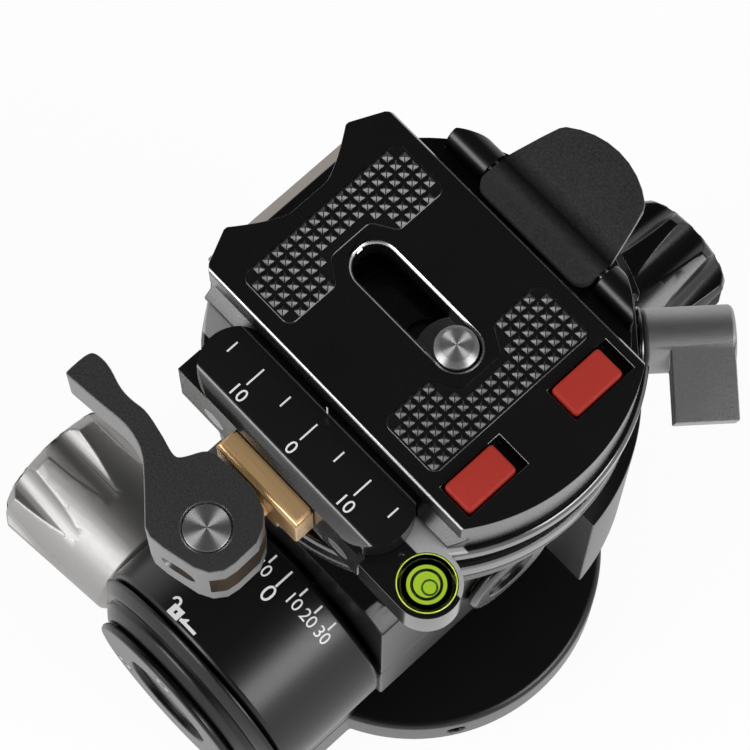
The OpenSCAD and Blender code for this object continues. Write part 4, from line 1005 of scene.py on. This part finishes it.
def half_arrow():
    """A shaft that points along -X, with a barb on one side of its tip."""
    corner = SHAFT_AT[0] - SHAFT_LONG / 2
    middle_x = corner + BARB_LONG / 2
    tip = bar(middle_x, SHAFT_AT[1] + BARB_H / 2, BARB_LONG, BARB_H)
    for vertex in tip.data.vertices:
        if vertex.co.y > SHAFT_AT[1] * MM and vertex.co.x < middle_x * MM:
            vertex.co.x = (corner + BARB_BACK) * MM
    return [bar(*SHAFT_AT, SHAFT_LONG, SHAFT_T), tip]


lock = frame_of_bars(*LOCK_AT, LOCK_W, LOCK_H, HOLE_W, HOLE_H)
sign = join(lock + shackle() + half_arrow(), "release_sign")
cut_fine(sign, 1)
move_points(sign, wrap_on_drum)
printed([sign], "release_sign", "base")
print("release sign printed")

# %% [markdown]
# The pan ring has a tick for every five degrees and a number for every ten, on a face that leans outwards.

# %% Pan scale
ring_low, ring_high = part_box("pan_scale_ring")
RING_TOP_R = ring_high.x
RING_LEAN, RING_LIP = 1.9, 0.6
RING_FOOT_R = RING_TOP_R - RING_LEAN * MM
slope = (RING_TOP_R - RING_FOOT_R) / (ring_high.z - ring_low.z - RING_LIP * MM)


def wrap_on_ring(angle0):
    def rule(p):
        z = ring_low.z + p.y
        radius = RING_FOOT_R + slope * p.y + p.z
        angle = angle0 + p.x / RING_TOP_R
        return Vector((radius * math.cos(angle), radius * math.sin(angle), z))
    return rule


PAN_TICK_W = 0.2
TEN_TICK, FIVE_TICK = (3.55, 0.9), (3.75, 0.5)    # height above the ring's foot, and length
PAN_NUMBER_Y, PAN_NUMBER_SIZE = 2.1, 1.45
marks = []
for degree in range(0, 360, 5):
    tens = degree % 10 == 0
    tick_y, tick_long = TEN_TICK if tens else FIVE_TICK
    labels = [bar(0, tick_y, PAN_TICK_W, tick_long)]
    if tens:
        labels.append(number(str(degree), 0, PAN_NUMBER_Y, PAN_NUMBER_SIZE))
    mark = join(labels, "mark")
    move_points(mark, wrap_on_ring(math.radians(degree)))
    marks.append(mark)
printed(marks, "pan_scale", "yoke")
print("pan scale printed")

# %% [markdown]
# The spirit level sits in the lobe beside the jaw. Its vial is a clear cup, and a thin ring in the glowing fluid
# finish at its rim is a painted glow of lime light gathered there. The fluid's top is inset into a bright round
# core and an outer band painted dark, as painted shadow of the vial's wall. The black ring and the bubble's edge
# lie just above it, under the lid.

# %% Spirit level
CORE_R = 2.87
VIAL_EDGE = 0.2
FACES_UP = 0.9
dress("bubble_vial", glass, VIAL_EDGE)
vial_low, vial_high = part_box("bubble_vial")
vial_mid = (vial_low + vial_high) / 2
fluid_low, fluid_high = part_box("bubble_fluid")
fluid_r = (fluid_high.x - fluid_low.x) / 2

liquid = clean_copy("bubble_fluid")
for finish in (fluid, wall_shadow):
    liquid.data.materials.append(finish)
select_only(liquid)
bpy.ops.object.mode_set(mode="EDIT")
bpy.ops.mesh.select_mode(type="FACE")
bpy.ops.mesh.select_all(action="DESELECT")
bpy.ops.object.mode_set(mode="OBJECT")
for face in liquid.data.polygons:
    face.select = face.normal.z > FACES_UP
bpy.ops.object.mode_set(mode="EDIT")
bpy.ops.mesh.inset(thickness=fluid_r - CORE_R * MM)
bpy.ops.mesh.select_mode(type="VERT")
bpy.ops.object.mode_set(mode="OBJECT")
# The outer band of the fluid's top takes the painted shadow of the vial's wall.
finish_where(liquid, 1, lambda c, n: (c.xy - vial_mid.xy / MM).length > CORE_R)
bpy.ops.object.shade_smooth_by_angle(angle=math.radians(SMOOTH_DEG))
stand_for(liquid, "bubble_fluid")


def level_ring(name, radius_mm, thick_mm, rise_mm, finish, shift_mm=0.0):
    """A thin ring over the fluid, raised above its top."""
    bpy.ops.object.select_all(action="DESELECT")
    place = Vector((vial_mid.x + shift_mm * MM, vial_mid.y, fluid_high.z + rise_mm * MM))
    bpy.ops.mesh.primitive_torus_add(major_radius=radius_mm * MM, minor_radius=thick_mm * MM,
                                     major_segments=64, minor_segments=8, location=place)
    ring = bpy.context.object
    ring.name = name
    bpy.ops.object.transform_apply(location=True, rotation=True, scale=True)
    bpy.ops.object.shade_smooth()
    ring.data.materials.append(finish)
    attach(ring, "clamp")


level_ring("level_ring", 2.1, 0.22, 0.02, ring_black)
level_ring("level_bubble_edge", 1.07, 0.15, 0.02, bubble_green, 0.6)
# Painted glow: a thin ring in the emissive fluid finish at the vial's rim, standing for light gathered in the rim.
level_ring("level_rim_painted_glow", 4.25, 0.10, 0.9, fluid)
print("spirit level at", [round(v / MM, 1) for v in vial_mid])
